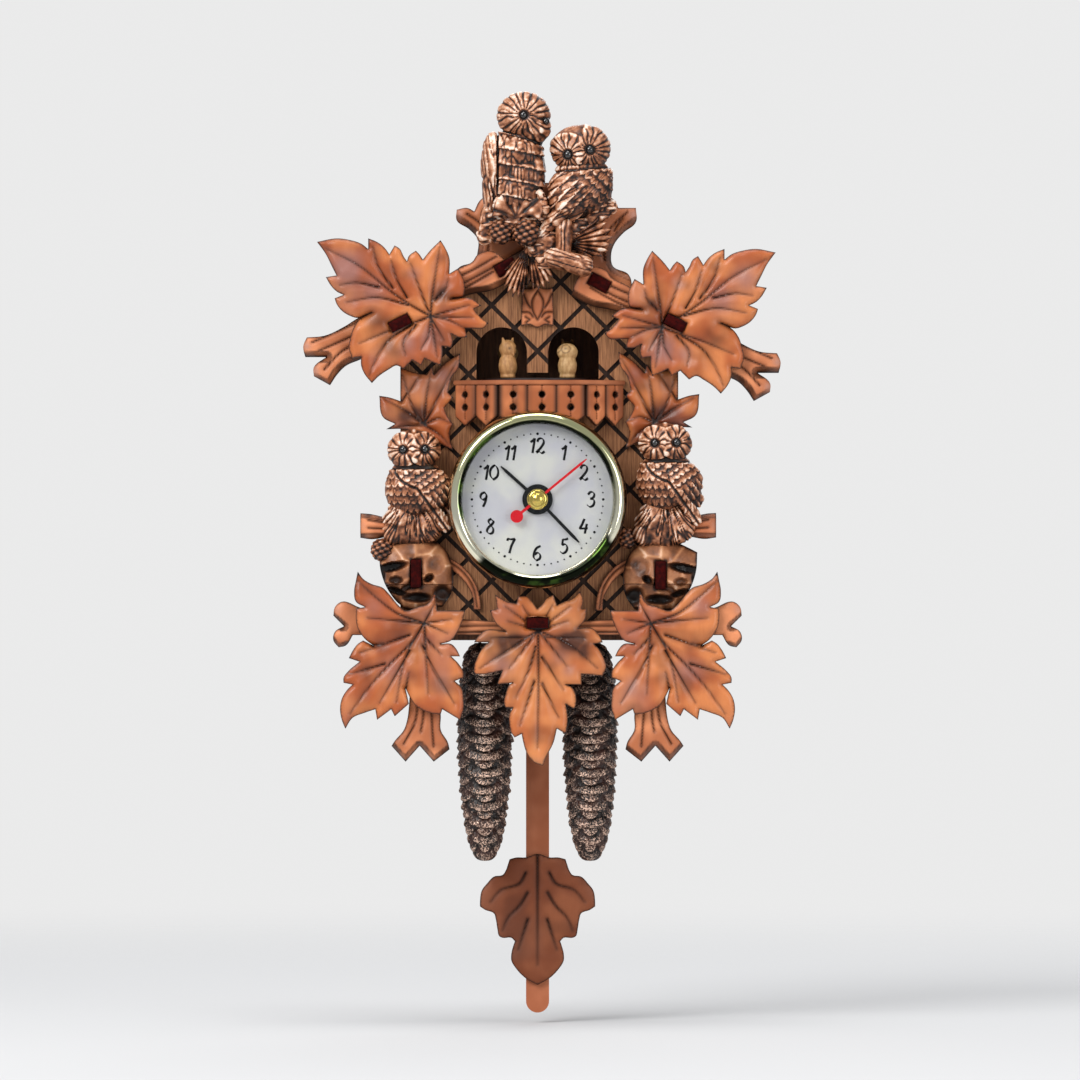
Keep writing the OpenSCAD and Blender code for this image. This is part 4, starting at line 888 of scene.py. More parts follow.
def shingled(across, wide):  # long feathers side by side, each rising to an edge
    return np.mod(across / wide, 1.0) ** 1.5


# knife lines that fan out from an eye, and the raised rim round them
def faceDisc(points, x, z, size, rays, seed=0):
    dx, dz = points[:, 0] - x, points[:, 2] - z
    away, angle = np.hypot(dx, dz), np.arctan2(dz, dx)
    window = ease(away, 1.1, 1.9) * (1 - ease(away, size * 0.95, size * 1.1))
    swing = 1 + np.cos(rays * angle + 2.2 * fuzz(np.c_[angle * 2, away / 2.2], 1, seed))
    lines = 1 - np.exp(-swing / 0.35)
    wander = strokes(away, angle * size * 0.5, 2.5, 0.8, seed + 1)
    bowl = -0.75 * np.exp(-(away / 1.8) ** 2) + 0.2 * np.exp(-((away - size) / 0.7) ** 2)
    return (0.34 * lines + 0.14 * wander) * window + bowl


# two face discs, the right one where share is 1, and the brow between them
def owlFace(left, right, share, brow):
    return left * (1 - share) + right * share + brow


def ball(level):  # the corners and triangles of a ball of radius 1
    made = bmesh.new()
    bmesh.ops.create_icosphere(made, subdivisions=level, radius=1)
    made.verts.index_update()
    corners = np.array([v.co[:] for v in made.verts])
    faces = np.array([[v.index for v in face.verts] for face in made.faces])
    made.free()
    return corners, faces


balls = {level: ball(level) for level in (2, 3, 4)}


def lumpPiece(name, body, slotName, finish, hidden, lumps, limbs, carve, back, voxel=0.3, relax=5,
              gain=0.32, bias=0.45):
    corners, sides = [], []

    def drop(centre, size, lean, level):
        c, s = math.cos(math.radians(lean)), math.sin(math.radians(lean))
        p = balls[level][0] * np.array(size) / 2
        sides.append(balls[level][1] + sum(len(part) for part in corners))
        corners.append(np.c_[p[:, 0] * c + p[:, 2] * s, p[:, 1], p[:, 2] * c - p[:, 0] * s] + centre)
    for centre, size, *lean in lumps:
        drop(centre, size, lean[0] if lean else 0, 4 if max(size) > 4 else 2)
    for first, firstSize, last, lastSize in limbs:
        first, last = np.array(first, float), np.array(last, float)
        steps = max(2, round(np.linalg.norm(last - first) / (0.2 * (firstSize + lastSize))))
        for t in np.linspace(0, 1, steps + 1):
            drop(first * (1 - t) + last * t, [2 * (firstSize * (1 - t) + lastSize * t)] * 3, 0, 3)
    mesh = bpy.data.meshes.new("lump")
    mesh.from_pydata(np.vstack(corners).tolist(), [], np.vstack(sides).tolist())
    rough = bpy.data.objects.new("lump", mesh)
    bpy.context.scene.collection.objects.link(rough)
    remesh = rough.modifiers.new("remesh", "REMESH")
    remesh.mode = "VOXEL"
    remesh.voxel_size = voxel
    shaped = rough.evaluated_get(bpy.context.evaluated_depsgraph_get()).to_mesh()
    points = np.empty(len(shaped.vertices) * 3)
    shaped.vertices.foreach_get("co", points)
    points = points.reshape(-1, 3)
    faces = [tuple(face.vertices) for face in shaped.polygons]
    links = np.empty(len(shaped.edges) * 2, np.int64)
    shaped.edges.foreach_get("vertices", links)
    links = links.reshape(-1, 2)
    bpy.data.objects.remove(rough)
    degree = np.bincount(links.ravel(), minlength=len(points))[:, None]

    def smoothed(values, rounds):
        for _ in range(rounds):
            total = np.zeros_like(values)
            for k in range(values.shape[1]):
                for here, there in ((0, 1), (1, 0)):
                    total[:, k] += np.bincount(links[:, here], values[links[:, there], k], len(values))
            values = values * 0.4 + total / degree * 0.6
        return values

    quads = np.array(faces)

    def outward():
        a, b, c, d = (points[quads[:, k]] for k in range(4))
        flat = np.cross(c - a, d - b)
        total = np.zeros_like(points)
        for k in range(4):
            for axis in range(3):
                total[:, axis] += np.bincount(quads[:, k], flat[:, axis], len(points))
        return total / np.maximum(np.linalg.norm(total, axis=1), 1e-9)[:, None]

    points = smoothed(points, relax)
    normal = outward()
    points = points + normal * carve(points, normal)[:, None]
    height = ((points - smoothed(points, 16)) * outward()).sum(1)
    # the ridge mask: paler on raised carving, darker in hollows, plus painted light, paler where the
    # surface faces up and left and darker where it faces back
    lit = 0.16 * normal[:, 2] - 0.12 * normal[:, 0] - 0.1 * (1 + normal[:, 1])
    ridge = np.clip(bias + lit + height / gain, 0, 1)
    points[:, 1] = np.minimum(points[:, 1], back)
    return addPiece(name, body, finish, points, faces, hidden, {"ridge": ridge}, 80)


# a resin piece glued to the front of the case
def casting(name, hidden, lumps, limbs, carve, back=-32, **how):
    lumpPiece(name, "case", "owl_resin", "owlResin", hidden, lumps, limbs, carve, back, **how)


# profile: radius and y
def lathe(name, body, finish, profile, hidden, x=0.0, z=dialZ, around=180, crease=50):
    outline = np.array(profile, float)
    angle = np.linspace(0, 2 * math.pi, around, endpoint=False)
    rows = len(outline)
    points = np.vstack([np.c_[x + r * np.cos(angle), np.full(around, y), z + r * np.sin(angle)]
                        for r, y in outline])
    faces = []
    for i in range(rows):
        j = (i + 1) % rows
        for k in range(around):
            m = (k + 1) % around
            faces.append((i * around + k, j * around + k, j * around + m, i * around + m))
    if outline[0][0] < 0.01:
        faces = faces[:-around]
    return addPiece(name, body, finish, points, faces, hidden, crease=crease)


def eye(name, x, y, z, size):  # a glossy bead seated in a thin lid
    profile = [(0, -0.78), (0.3, -0.75), (0.6, -0.62), (0.82, -0.42), (0.94, -0.16), (0.98, 0),
               (1.06, -0.14), (1.2, -0.12), (1.3, 0.08), (1.24, 0.5), (0, 0.5)]
    lathe(name, "case", "eyeGloss", [(r * size, y + d * size) for r, d in profile], [], x, z,
          40)


def crestOwlLeft(points, normal):
    x, z = points[:, 0], points[:, 2]
    front = ease(-normal[:, 1], -0.5, 0.3)
    neck = z + 0.35 * (x + 5) - 43.2
    headPart = ease(neck, -0.4, 0.4)
    socket = -0.7 * np.exp(-((x - 2.3) ** 2 + (z - 47.6) ** 2) / 1.6)
    lift = headPart * front * (faceDisc(points, -3.9, 49.3, 8.6, 18) + socket)
    down = 43.2 - z - 0.18 * (x + 5)
    breast = 0.5 * np.mod(down / 4.3, 1.0) ** 1.6 + 0.26 * strokes(down, x, 2.6, 0.85, 2)
    wing = 1 - ease(x, -11.6, -11.0)
    plume = 0.36 * strokes(z, x + 0.12 * z, 7, 0.9, 5) + 0.2 * shingled(x + 0.12 * z, 1.6)
    lift = (lift + (1 - headPart) * (breast * (1 - wing) + plume * wing
                                     - 0.7 * np.exp(-((x + 11.3) / 0.35) ** 2)))
    return lift - 0.5 * np.exp(-(neck / 0.45) ** 2) + 0.06 * fuzz(points, 0.9, 3)


def crestOwlRight(points, normal):
    x, z = points[:, 0], points[:, 2]
    front = ease(-normal[:, 1], -0.5, 0.3)
    neck = z - 0.1 * (x - 12) - 34
    headPart = ease(neck, -0.4, 0.4)
    discs = faceDisc(points, 8.5, 38.2, 5.8, 15, 6), faceDisc(points, 14.8, 39.5, 6.4, 16, 9)
    rightSide = ease(x - 0.2 * (z - 39), 11.4, 12.2)
    brow = 0.35 * np.exp(-((x - 11.7 - 0.25 * (z - 39)) / 0.9) ** 2) * ease(z, 39.5, 41.5)
    lift = headPart * front * owlFace(*discs, rightSide, brow)
    down, across = turned(points, 17, 33.5, -42)
    small = 0.5 * (scales(down, across, 2.4, 2.0) - 0.5) + 0.12 * strokes(down, across, 1.5, 0.7, 3)
    long = (0.34 * shingled(across + 0.4 * fuzz(points, 5, 2), 2.3)
            + 0.26 * strokes(down, across + 0.35 * down, 3, 0.8, 7))
    tail = ease(down, 4.5, 6.5) * (1 - ease(x, 13.5, 15.5))
    lift = lift + (1 - headPart) * (small * (1 - tail) + long * tail)
    return lift - 0.5 * np.exp(-(neck / 0.45) ** 2) + 0.06 * fuzz(points, 0.9, 5)


crestOwls = [
    ("crestOwl_left", "crest_owl_left",
     [((-3.9, -38.5, 49.2), (14.8, 13, 13.4)), ((-1.2, -39, 46.6), (9.6, 10.5, 11)),
      ((-5.6, -38, 40.6), (14.6, 12, 9)), ((-7, -37, 36), (16.5, 14, 19)), ((-6, -38, 29), (14, 13, 14)),
      ((-5.2, -41, 38.6), (11, 8, 9.5)), ((-4.6, -40.6, 33), (10.6, 8, 8)),
      ((-12.6, -38, 35.5), (6.2, 11, 18)), ((-13.3, -37, 29), (4, 8, 16)),
      ((-0.5, -38.5, 34), (5, 10, 15))],
     [((0.4, -43.0, 46.4), 0.9, (0.9, -43.6, 44.4), 0.4)], crestOwlLeft),
    ("crestOwl_right", "crest_owl_right",
     [((12.1, -38.5, 40), (16.8, 13, 13.6)), ((12.6, -38, 32.8), (15.4, 12, 8.5)),
      ((14, -37.5, 29), (14.5, 14, 16)), ((9, -39, 27), (12, 12, 15)), ((16, -39, 31), (11, 9, 8), 20)],
     [((15, -41, 33), 2.5, (8, -42, 24), 3), ((8, -41, 25), 2.6, (1.6, -39, 16.2), 1.3),
      ((12, -41, 29), 3, (5, -41, 20), 1.8),
      ((19, -38, 33), 2.4, (18, -37, 24), 2.4), ((11.7, -43.8, 38.4), 1.4, (11.9, -44.5, 35.6), 0.5)],
     crestOwlRight),
]
for name, node, lumps, limbs, carve in crestOwls:
    casting(name, [node], lumps, limbs, carve)
eye("crestOwlEye_a", -4.0, -44.3, 49.3, 1.1)
eye("crestOwlEye_b", 2.3, -42.4, 47.6, 0.85)
eye("crestOwlEye_c", 8.6, -44.2, 38.1, 1.2)
eye("crestOwlEye_d", 14.8, -44.3, 39.5, 1.1)


def sideOwlCarve(x, z):
    def carve(points, normal):
        u, w = points[:, 0] - x, points[:, 2] - z
        front = ease(-normal[:, 1], -0.5, 0.3)
        neck = w + 5.2
        headPart = ease(neck, -0.4, 0.4)
        discs = (faceDisc(points, x - 3.0, z + 0.1, 4.6, 12, 2),
                 faceDisc(points, x + 3.1, z + 0.2, 4.6, 12, 5))
        brow = 0.4 * np.exp(-(u / 0.7) ** 2) * ease(w, 0.5, 2)
        lift = headPart * front * owlFace(*discs, ease(u, -0.3, 0.4), brow)
        down, across = turned(points, x - 2.5, z - 6, 36)
        wingEdge = across + 2.6 - 0.07 * down * down * (down < 6) - 2.5 * (down >= 6)
        wing = ease(wingEdge, -0.2, 0.4)
        small = 0.55 * (scales(down, across, 1.9, 1.75) - 0.5) + 0.1 * strokes(down, across, 1.2, 0.6, 3)
        long = 0.34 * shingled(across, 1.7) + 0.2 * strokes(down, across + 0.5 * down, 2.5, 0.8, 6)
        tail = ease(down, 9, 11)
        chest = 0.45 * (scales(-w, u, 2.3, 1.8) - 0.5) + 0.1 * strokes(w, u, 1.5, 0.6, 8)
        lift = lift + (1 - headPart) * (wing * (small * (1 - tail) + long * tail) + (1 - wing) * chest)
        return (lift - 0.6 * np.exp(-(wingEdge / 0.35) ** 2) * (1 - headPart)
                - 0.4 * np.exp(-(neck / 0.4) ** 2) + 0.05 * fuzz(points, 0.9, 7))
    return carve


for side, x, z in (("left", -35.0, -45.5), ("right", 36.2, -43.6)):
    lumps = [((x, -39.5, z), (14.6, 12, 11.4)), ((x + 0.4, -38.6, z - 6.4), (15, 11, 7)),
             ((x - 0.5, -38.5, z - 11), (15.5, 12, 16)), ((x + 3.5, -40, z - 11), (14, 10, 13))]
    limbs = [((x + 2, -41, z - 10), 3, (x + 9, -38.5, z - 22), 1.4),
             ((x + 6, -39, z - 9), 2.6, (x + 8.5, -37.5, z - 16), 2.2),
             ((x - 3, -39, z - 14), 2.2, (x - 2.5, -40, z - 18), 1.4),
             ((x, -44.2, z - 0.6), 1.2, (x + 0.2, -45, z - 3.2), 0.5)]
    casting("sideOwl_" + side, ["side_owl_" + side], lumps, limbs, sideOwlCarve(x, z), -35)
    eye("sideOwlEye_a_" + side, x - 3.0, -44.3, z + 0.1, 1.05)
    eye("sideOwlEye_b_" + side, x + 3.1, -44.3, z + 0.2, 1.05)
print("owls ready")


# perch, sprays and small cones of the crest
def bark(points, normal):
    grain = fuzz(points / np.array([3.2, 1.0, 0.8]), 1, 4)
    return 0.35 * (1 - np.exp(-(grain / 0.25) ** 2)) + 0.25 * grain + 0.2 * fuzz(points, 1.2, 8)


casting("crestPerch", ["crest_perch"], [((-6, -36, 20), (16, 10, 12)), ((8, -35, 17), (18, 8, 14)),
                                        ((2, -36, 13), (12, 8, 12))],
        [((-13, -38, 26), 1.6, (-15.2, -37.5, 15), 2.0), ((2, -38, 20.5), 2.4, (17.6, -39, 24.2), 2.0),
         ((15.5, -37, 20), 2.2, (20.6, -37.5, 23.6), 1.9),
         ((-9, -41.8, 28.3), 0.9, (-11.5, -41.5, 23.6), 1.2),
         ((0.5, -41.8, 27.6), 0.9, (2, -41.5, 22.5), 1.2), ((1.6, -39, 8), 2.2, (5, -40, 9), 2.5)],
        bark, gain=0.4)


def logBark(along, across, seed, roughSeed):  # long cuts: along and across as shares of x and z
    def carve(points, normal):
        u, v = (a * points[:, 0] + b * points[:, 2] for a, b in (along, across))
        return 0.3 * strokes(u, v, 5, 0.9, seed) + 0.1 * fuzz(points, 1.1, roughSeed)
    return carve


casting("crestLog", [], [], [((4.6, -40.6, 9), 2.7, (12.9, -41.2, 6.6), 2.8)],
        logBark((1, 0), (0.3, 1), 2, 2), gain=0.4, bias=0.48)
casting("crestStump", [], [], [((7.4, -39.8, 11), 2.1, (7.6, -39.8, 18.2), 2.2)],
        logBark((0, 1), (1, 0), 4, 3), gain=0.4)


def coneBumps(x, y, z, wide, tall, turns, size):  # a small cone as a body under spiralling scales
    lumps = [((x, y, z), (wide, wide * 0.9, tall))]
    for i in range(turns):
        high = 1 - 2 * (i + 0.5) / turns
        angle = i * 2.39996
        ring = math.sqrt(1 - high * high)
        place = (x + wide / 2 * ring * math.cos(angle), y - wide * 0.45 * ring * math.sin(angle),
                 z - tall / 2 * high)
        if place[1] < y + 1.5:
            lumps.append((place, (size, size, size * 0.72)))
    return lumps


smallCones = [("crestCone_a", (-10.4, -39.6, 16.4, 5.4, 6.2, 46, 2.0)),
              ("crestCone_b", (-3.2, -40.4, 16.2, 6.0, 6.8, 50, 2.05)),
              ("logCone_left", (-44.1, -36.2, -73.8, 5.2, 5.6, 46, 1.85)),
              ("logCone_right", (25.6, -35.2, -70.6, 4.0, 5.0, 40, 1.7))]
for name, values in smallCones:
    casting(name, [], coneBumps(*values), [], lambda points, normal: 0.05 * fuzz(points, 0.7, 2), voxel=0.2,
            relax=2, gain=0.4, bias=0.32)


crestLeaf = [[-13, 20.5], [-11.8, 25], [-9.6, 27.6], [-7.6, 25.2], [-4.8, 27.2], [-2.4, 25.0], [0.6, 26.4],
             [1.6, 22.6], [0.6, 19.8], [-3, 21], [-6.4, 20.0], [-9.6, 21]]
crestVeins = [[[-6, 20.4], [-9.4, 26.8]], [[-6, 20.4], [-4.8, 26.4]], [[-5.6, 20.6], [0.2, 25.6]],
              [[-6.4, 20.4], [-12.2, 22.5]]]
lowLeaf = [[-14.2, 25], [-16.0, 22.4], [-16.4, 18], [-15.4, 14.2], [-13.2, 13.2], [-12.2, 16.4],
           [-12.6, 20.6]]
lowVeins = [[[-13.8, 24], [-14.4, 19], [-14.2, 14.4]], [[-13.6, 22], [-15.8, 18]],
            [[-13.2, 21], [-12.8, 16.5]]]


def addResinLeaf(name, outline, veins, front, back, seed, width=0.7, hidden=(), bend=0.0):
    trails = [flow(vein, 0.8, False, 80) for vein in veins]
    middle = np.mean(outline, 0)

    def shape(points, rim):
        vein = nearest(points, trails)[0]
        sink = (0.9 * np.exp(-(vein / width) ** 2) + 0.8 * np.exp(-(rim / 0.6) ** 1.5)
                + 0.8 * (0.5 + 0.5 * fuzz(points, 2.4, seed)))
        return front + sink + bend * ((points - middle) ** 2).sum(1)
    points, faces, flat, rim = plate([flow(outline, 0.4)], back, shape, 0.3)
    vein = nearest(flat, trails)[0]
    ridge = (0.7 - 0.65 * np.exp(-(vein / (0.7 * width)) ** 2) + 0.15 * np.exp(-((rim - 0.5) / 0.3) ** 2)
             - 0.3 * np.exp(-(rim / 0.2) ** 2))
    ridge = ridge + 0.35 * fuzz(flat, 1.6, seed)
    addPiece(name, "case", "owlResin", points, faces, hidden,
             {"ridge": np.r_[np.clip(ridge, 0, 1), 0 * ridge + 0.1]})


# a fan of needles from one point, cut from one thick leaf
def addSpray(name, hidden, root, tips, front, seed):
    root, tips = np.array(root), np.array(tips)
    notches = [root + 0.84 * ((a + b) / 2 - root) for a, b in zip(tips[:-1], tips[1:])]
    outline = [root, tips[0]]
    for notch, tip in zip(notches, tips[1:]):
        outline += [notch, tip]
    veins = [[root + 0.2 * (notch - root), notch] for notch in notches]
    addResinLeaf(name, outline, veins, front, -36.5, seed, 0.3, hidden, 0.008)


addResinLeaf("crestLeaf", crestLeaf, crestVeins, -43.8, -40, 3)
addResinLeaf("crestSideLeaf", lowLeaf, lowVeins, -40, -34, 5)
addSpray("crestSpray_left", ["crest_spray"], (-2.6, 12.5),
         [(-9.4, 5.6), (-9.8, 3.2), (-9.4, 0.9), (-8.7, -1.2), (-7.2, -2.3), (-5.6, -2.4), (-4.2, -1.6),
          (-3.0, 0.4)], -41.4, 4)
addSpray("crestSpray_middle", [], (-2.2, 12.0),
         [(-2.6, 1.2), (-1.2, 0.2), (0.4, -0.3), (2.0, 0.4), (3.4, 1.8), (4.4, 3.6), (4.8, 5.8)], -40.6, 8)
addSpray("crestSpray_right", [], (7.6, 13.2),
         [(17.2, 20.4), (19.6, 19.2), (20.9, 17.2), (21.4, 15.0), (21.2, 12.8), (20.2, 10.9), (18.4, 9.4),
          (16.0, 8.6)], -40.8, 12)
addSpray("crestSpray_low", [], (0.5, 13.0),
         [(6.8, 13.2), (9.6, 11.8), (12.4, 9.6), (14.6, 6.8), (15.8, 4.4)], -39.6, 15)

# stumps and mounds under the side owls
stump = {
    "outline": [[-45, -74], [-41, -72], [-36, -70], [-30, -71], [-26, -74], [-24, -80], [-24.5, -86],
                [-27, -90], [-38, -90], [-42, -86], [-44.5, -80]],
    # gouge cuts: x, z, half width, half height, depth, turn
    "cuts": [(-41.2, -78.6, 5.0, 1.5, 3.8, 12), (-40.2, -82.4, 2.2, 1.3, 1.8, 0),
             (-39.9, -85.6, 3.4, 1.1, 3.2, -18), (-30.8, -81.8, 1.8, 1.2, 3.0, 35),
             (-34.2, -87.4, 4.6, 1.6, 3.6, 0), (-27.2, -86.4, 3.0, 3.0, 3.2, 30),
             (-28.8, -78.0, 2.8, 3.2, 0.9, -32), (-44.2, -81.0, 1.2, 2.4, 2.6, 0),
             (-37.4, -84.6, 2.0, 1.0, 1.6, 30)],
    "facets": [[-42, -75.5], [-37.5, -73], [-32, -72.5], [-27.5, -75.5], [-43, -80], [-38.6, -80.4],
               [-31, -77.5], [-26.5, -81.5], [-41, -85], [-36.5, -84.5], [-31.5, -85]],
    "hole": boxAt(-34.5, -80.5, 3, 8),
    "step": -83.6, "upper": -40.0, "lower": -36.9,  # the face lies further back below the step
}


def addStump(name, hidden, flip, seed):
    outline, cuts, facets, hole = stump["outline"], stump["cuts"], stump["facets"], stump["hole"]
    if flip:
        outline = mirrored(outline, 0.4, -0.5)
        cuts = [(0.4 - x, z - 0.5, wide, tall, deep, -lean) for x, z, wide, tall, deep, lean in cuts]
        facets, hole = mirrored(facets, 0.4, -0.5), mirrored(hole, 0.4, -0.5)
    centre = np.mean(facets, 0)

    def carve(points):
        total = np.zeros(len(points))
        for x, z, wide, tall, deep, lean in cuts:
            c, s = math.cos(math.radians(lean)), math.sin(math.radians(lean))
            dx, dz = points[:, 0] - x, points[:, 1] - z
            a, b = (dx * c + dz * s) / wide, (dz * c - dx * s) / tall
            total = np.maximum(total, deep * np.clip(1.3 * (1 - a * a - b * b), 0, 1))
        return total

    # flat faces that touch a dome, and how near each point is to an edge between two of them
    def chisel(points):
        bend = np.array([0.03, 0.04])
        planes = []
        for spot in np.array(facets):
            away = spot - centre
            planes.append((bend * away**2).sum() + ((points - spot) * 2 * bend * away).sum(1))
        planes = np.sort(np.array(planes), 0)
        return planes[-1], np.exp(-((planes[-1] - planes[-2]) / 0.16) ** 2)

    def shape(points, rim):
        sink = (carve(points) + chisel(points)[0] + 1.2 * np.exp(-(rim / 1.1) ** 1.5)
                + 0.25 * (0.5 + 0.5 * fuzz(points, 2, seed)))
        below = points[:, 1] < stump["step"]
        return (np.where(below, stump["lower"], stump["upper"])
                + np.clip(sink * np.where(below, 0.55, 1), 0.02, 5))
    points, faces, flat, rim = plate([flow(outline, 0.6), np.array(hole, float)], -32, shape, 0.36)
    deep, (_, edge) = carve(flat), chisel(flat)
    ridge = (0.6 - 0.17 * deep + 0.3 * edge * (deep < 0.3) + 0.2 * fuzz(flat, 3, seed + 1)
             - 0.5 * np.exp(-(rim / 0.5) ** 2))
    addPiece(name, "case", "stumpResin", points, faces, hidden,
             {"ridge": np.r_[np.clip(ridge, 0, 1), 0 * ridge + 0.1]})


addStump("stump_left", ["side_stump_left"], False, 3)
addStump("stump_right", ["side_stump_right"], True, 7)


def addMound(side, x, z):
    lumps = [((x, -36, z), (17, 9, 13)), ((x - 3, -38, z + 2), (9, 7, 8)),
             ((x + 3.6, -37.6, z - 0.5), (9, 7, 10)), ((x - 5.5, -36, z - 3), (7, 7, 7))]

    def carve(points, normal):
        dx, dz = points[:, 0] - x, points[:, 2] - z - 9
        away, angle = np.hypot(dx, dz), np.arctan2(dx, -dz)
        fold = strokes(away, angle * 18 + 0.8 * fuzz(points, 4, 3), 5, 1.0, 3)
        return 0.45 * fold + 0.35 * fuzz(points, 2.6, 6) + 0.1 * fuzz(points, 1.0, 7)
    casting("mound_" + side, [], lumps, [], carve, gain=0.4)


addMound("left", -35.2, -66.0)
addMound("right", 36.2, -66.4)
logEnd = {
    "outline": [[-50.3, -63.4], [-47.6, -63.6], [-43.2, -64.6], [-43.2, -70.2], [-47, -70.8],
                [-50.3, -70.4]],
    "grooves": [[[-48, -65.4], [-44, -66]], [[-48, -67.6], [-44, -67.8]]],
    "under": [[[-50.3, -63.2], [-43, -64.4]], [[-50.3, -70.6], [-43, -70.4]]],
    "pale": [(-49.6, -67, 1.2, 0.35)],
}
for side, limb, seed in (("left", logEnd, 4), ("right", flipped(logEnd, 0.4, 0.1), 6)):
    addLimb("logEnd_" + side, limb, -38.6, -33, [], seed, bevel=1.4, cell=0.35)
print("ornaments ready")

# pine cone weights
cone = {"top": -100.4, "tip": -162.6, "radius": 8.3, "y": -24.0, "pitch": 4.8, "relief": 1.5, "rows": 420,
        "columns": 300}
bail = {"half": 1.5, "foot": -101.5, "bend": -96.25, "wire": 0.45}


def addWeight(side, x):
    rows, columns = cone["rows"], cone["columns"]
    t = np.repeat(np.linspace(0, 1, rows), columns)
    angle = np.tile(np.linspace(0, 2 * math.pi, columns, endpoint=False), rows)
    half = cone["radius"] * np.sin(np.pi * np.maximum(t, 0.004) ** 0.72) ** 0.34
    z = cone["top"] + (cone["tip"] - cone["top"]) * t
    front = np.degrees(np.arctan2(np.sin(angle), np.cos(angle)))  # 0 at the front
    height = np.zeros(len(t))
    # scale columns: spacing, half width, sag of the lower edge, phase
    for spacing, wide, sag, phase in ((60, 25, 1.7, 0.0), (120, 56, 1.9, 0.5), (30, 13, 1.0, 0.25)):
        lane = (np.mod(front + spacing / 2, spacing) - spacing / 2) / wide
        edge = z + sag * (1 - lane**2) - cone["pitch"] * phase
        rise = np.mod(edge, cone["pitch"]) / cone["pitch"]
        fade = np.clip(1 - lane**2, 0, 1) ** 0.5
        share = 1.0 if spacing > 30 else 0.35
        height = np.maximum(
            height, share * fade * np.clip(1 - rise * 1.7, 0, 1) ** 0.8 * ease(rise, 0.0, 0.03))
    skin = np.c_[np.sin(angle) * 8 + x, np.cos(angle) * 8, z]
    rough = 0.20 * fuzz(skin, 0.75, 3) + 0.16 * fuzz(skin, 1.7, 5)
    out = (half * (0.84 + 0.03 * fuzz(skin, 4, 8))
           + (cone["relief"] * height + rough) * np.clip(half / 5, 0.1, 1))
    out = np.minimum(out, half * 1.02)
    points = np.c_[x + out * np.sin(angle), cone["y"] - out * np.cos(angle), z]
    grid = np.arange(rows * columns).reshape(rows, columns)
    beside = np.roll(grid, -1, 1)
    faces = np.stack([grid[:-1], grid[1:], beside[1:], beside[:-1]], -1).reshape(-1, 4).tolist()
    faces += [grid[0].tolist(), grid[-1][::-1].tolist()]
    ridge = np.clip(0.12 + 0.85 * height + 0.9 * rough, 0, 1)
    addPiece("weight_" + side, "weight_" + side, "coneResin", points, faces, ["cone_" + side],
             {"ridge": ridge}, 80)
    wire = bpy.data.curves.new("bail", "CURVE")
    wire.dimensions = "3D"
    wire.bevel_depth = bail["wire"] * mm
    half, arch = bail["half"], np.linspace(math.pi, 0, 13)
    places = ([(x - half, bail["foot"])] + [(x + half * math.cos(a), bail["bend"] + half * math.sin(a))
                                            for a in arch])
    places.append((x + half, bail["foot"]))
    line = wire.splines.new("POLY")
    line.points.add(len(places) - 1)
    for point, (across, z) in zip(line.points, places):
        point.co = (across * mm, cone["y"] * mm, z * mm, 1)
    piece = bpy.data.objects.new("bail_" + side, wire)
    bpy.context.scene.collection.objects.link(piece)
    dress(piece, "steel")
    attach(piece, "weight_" + side)


addWeight("left", -15)
addWeight("right", 15)
print("weights ready")


# dial, bezel and cap
bezelProfile = [(25.3, -41.6), (25.3, -43.6), (25.25, -44.8), (25.05, -45.8), (24.7, -46.7), (24.2, -47.4),
                (23.6, -47.85), (23.0, -48.0), (22.4, -47.85), (21.9, -47.45), (21.55, -46.9),
                (21.35, -46.2), (21.3, -45.2), (21.25, -42.4), (22.4, -42.35), (22.5, -41.6)]
lathe("bezelRing", "case", "paleGoldPaintedReflection", bezelProfile, ["bezel"])
capProfile = [(0.0, -46.2), (0.5, -46.17), (1.0, -46.05), (1.4, -45.86), (1.6, -45.7), (1.7, -45.62),
              (1.95, -45.66), (2.3, -45.62), (2.65, -45.4), (2.9, -45.05), (3.0, -44.6), (2.2, -44.6),
              (0.0, -44.6)]
lathe("capDome", "second", "brass", capProfile, ["hand_cap"], around=96)

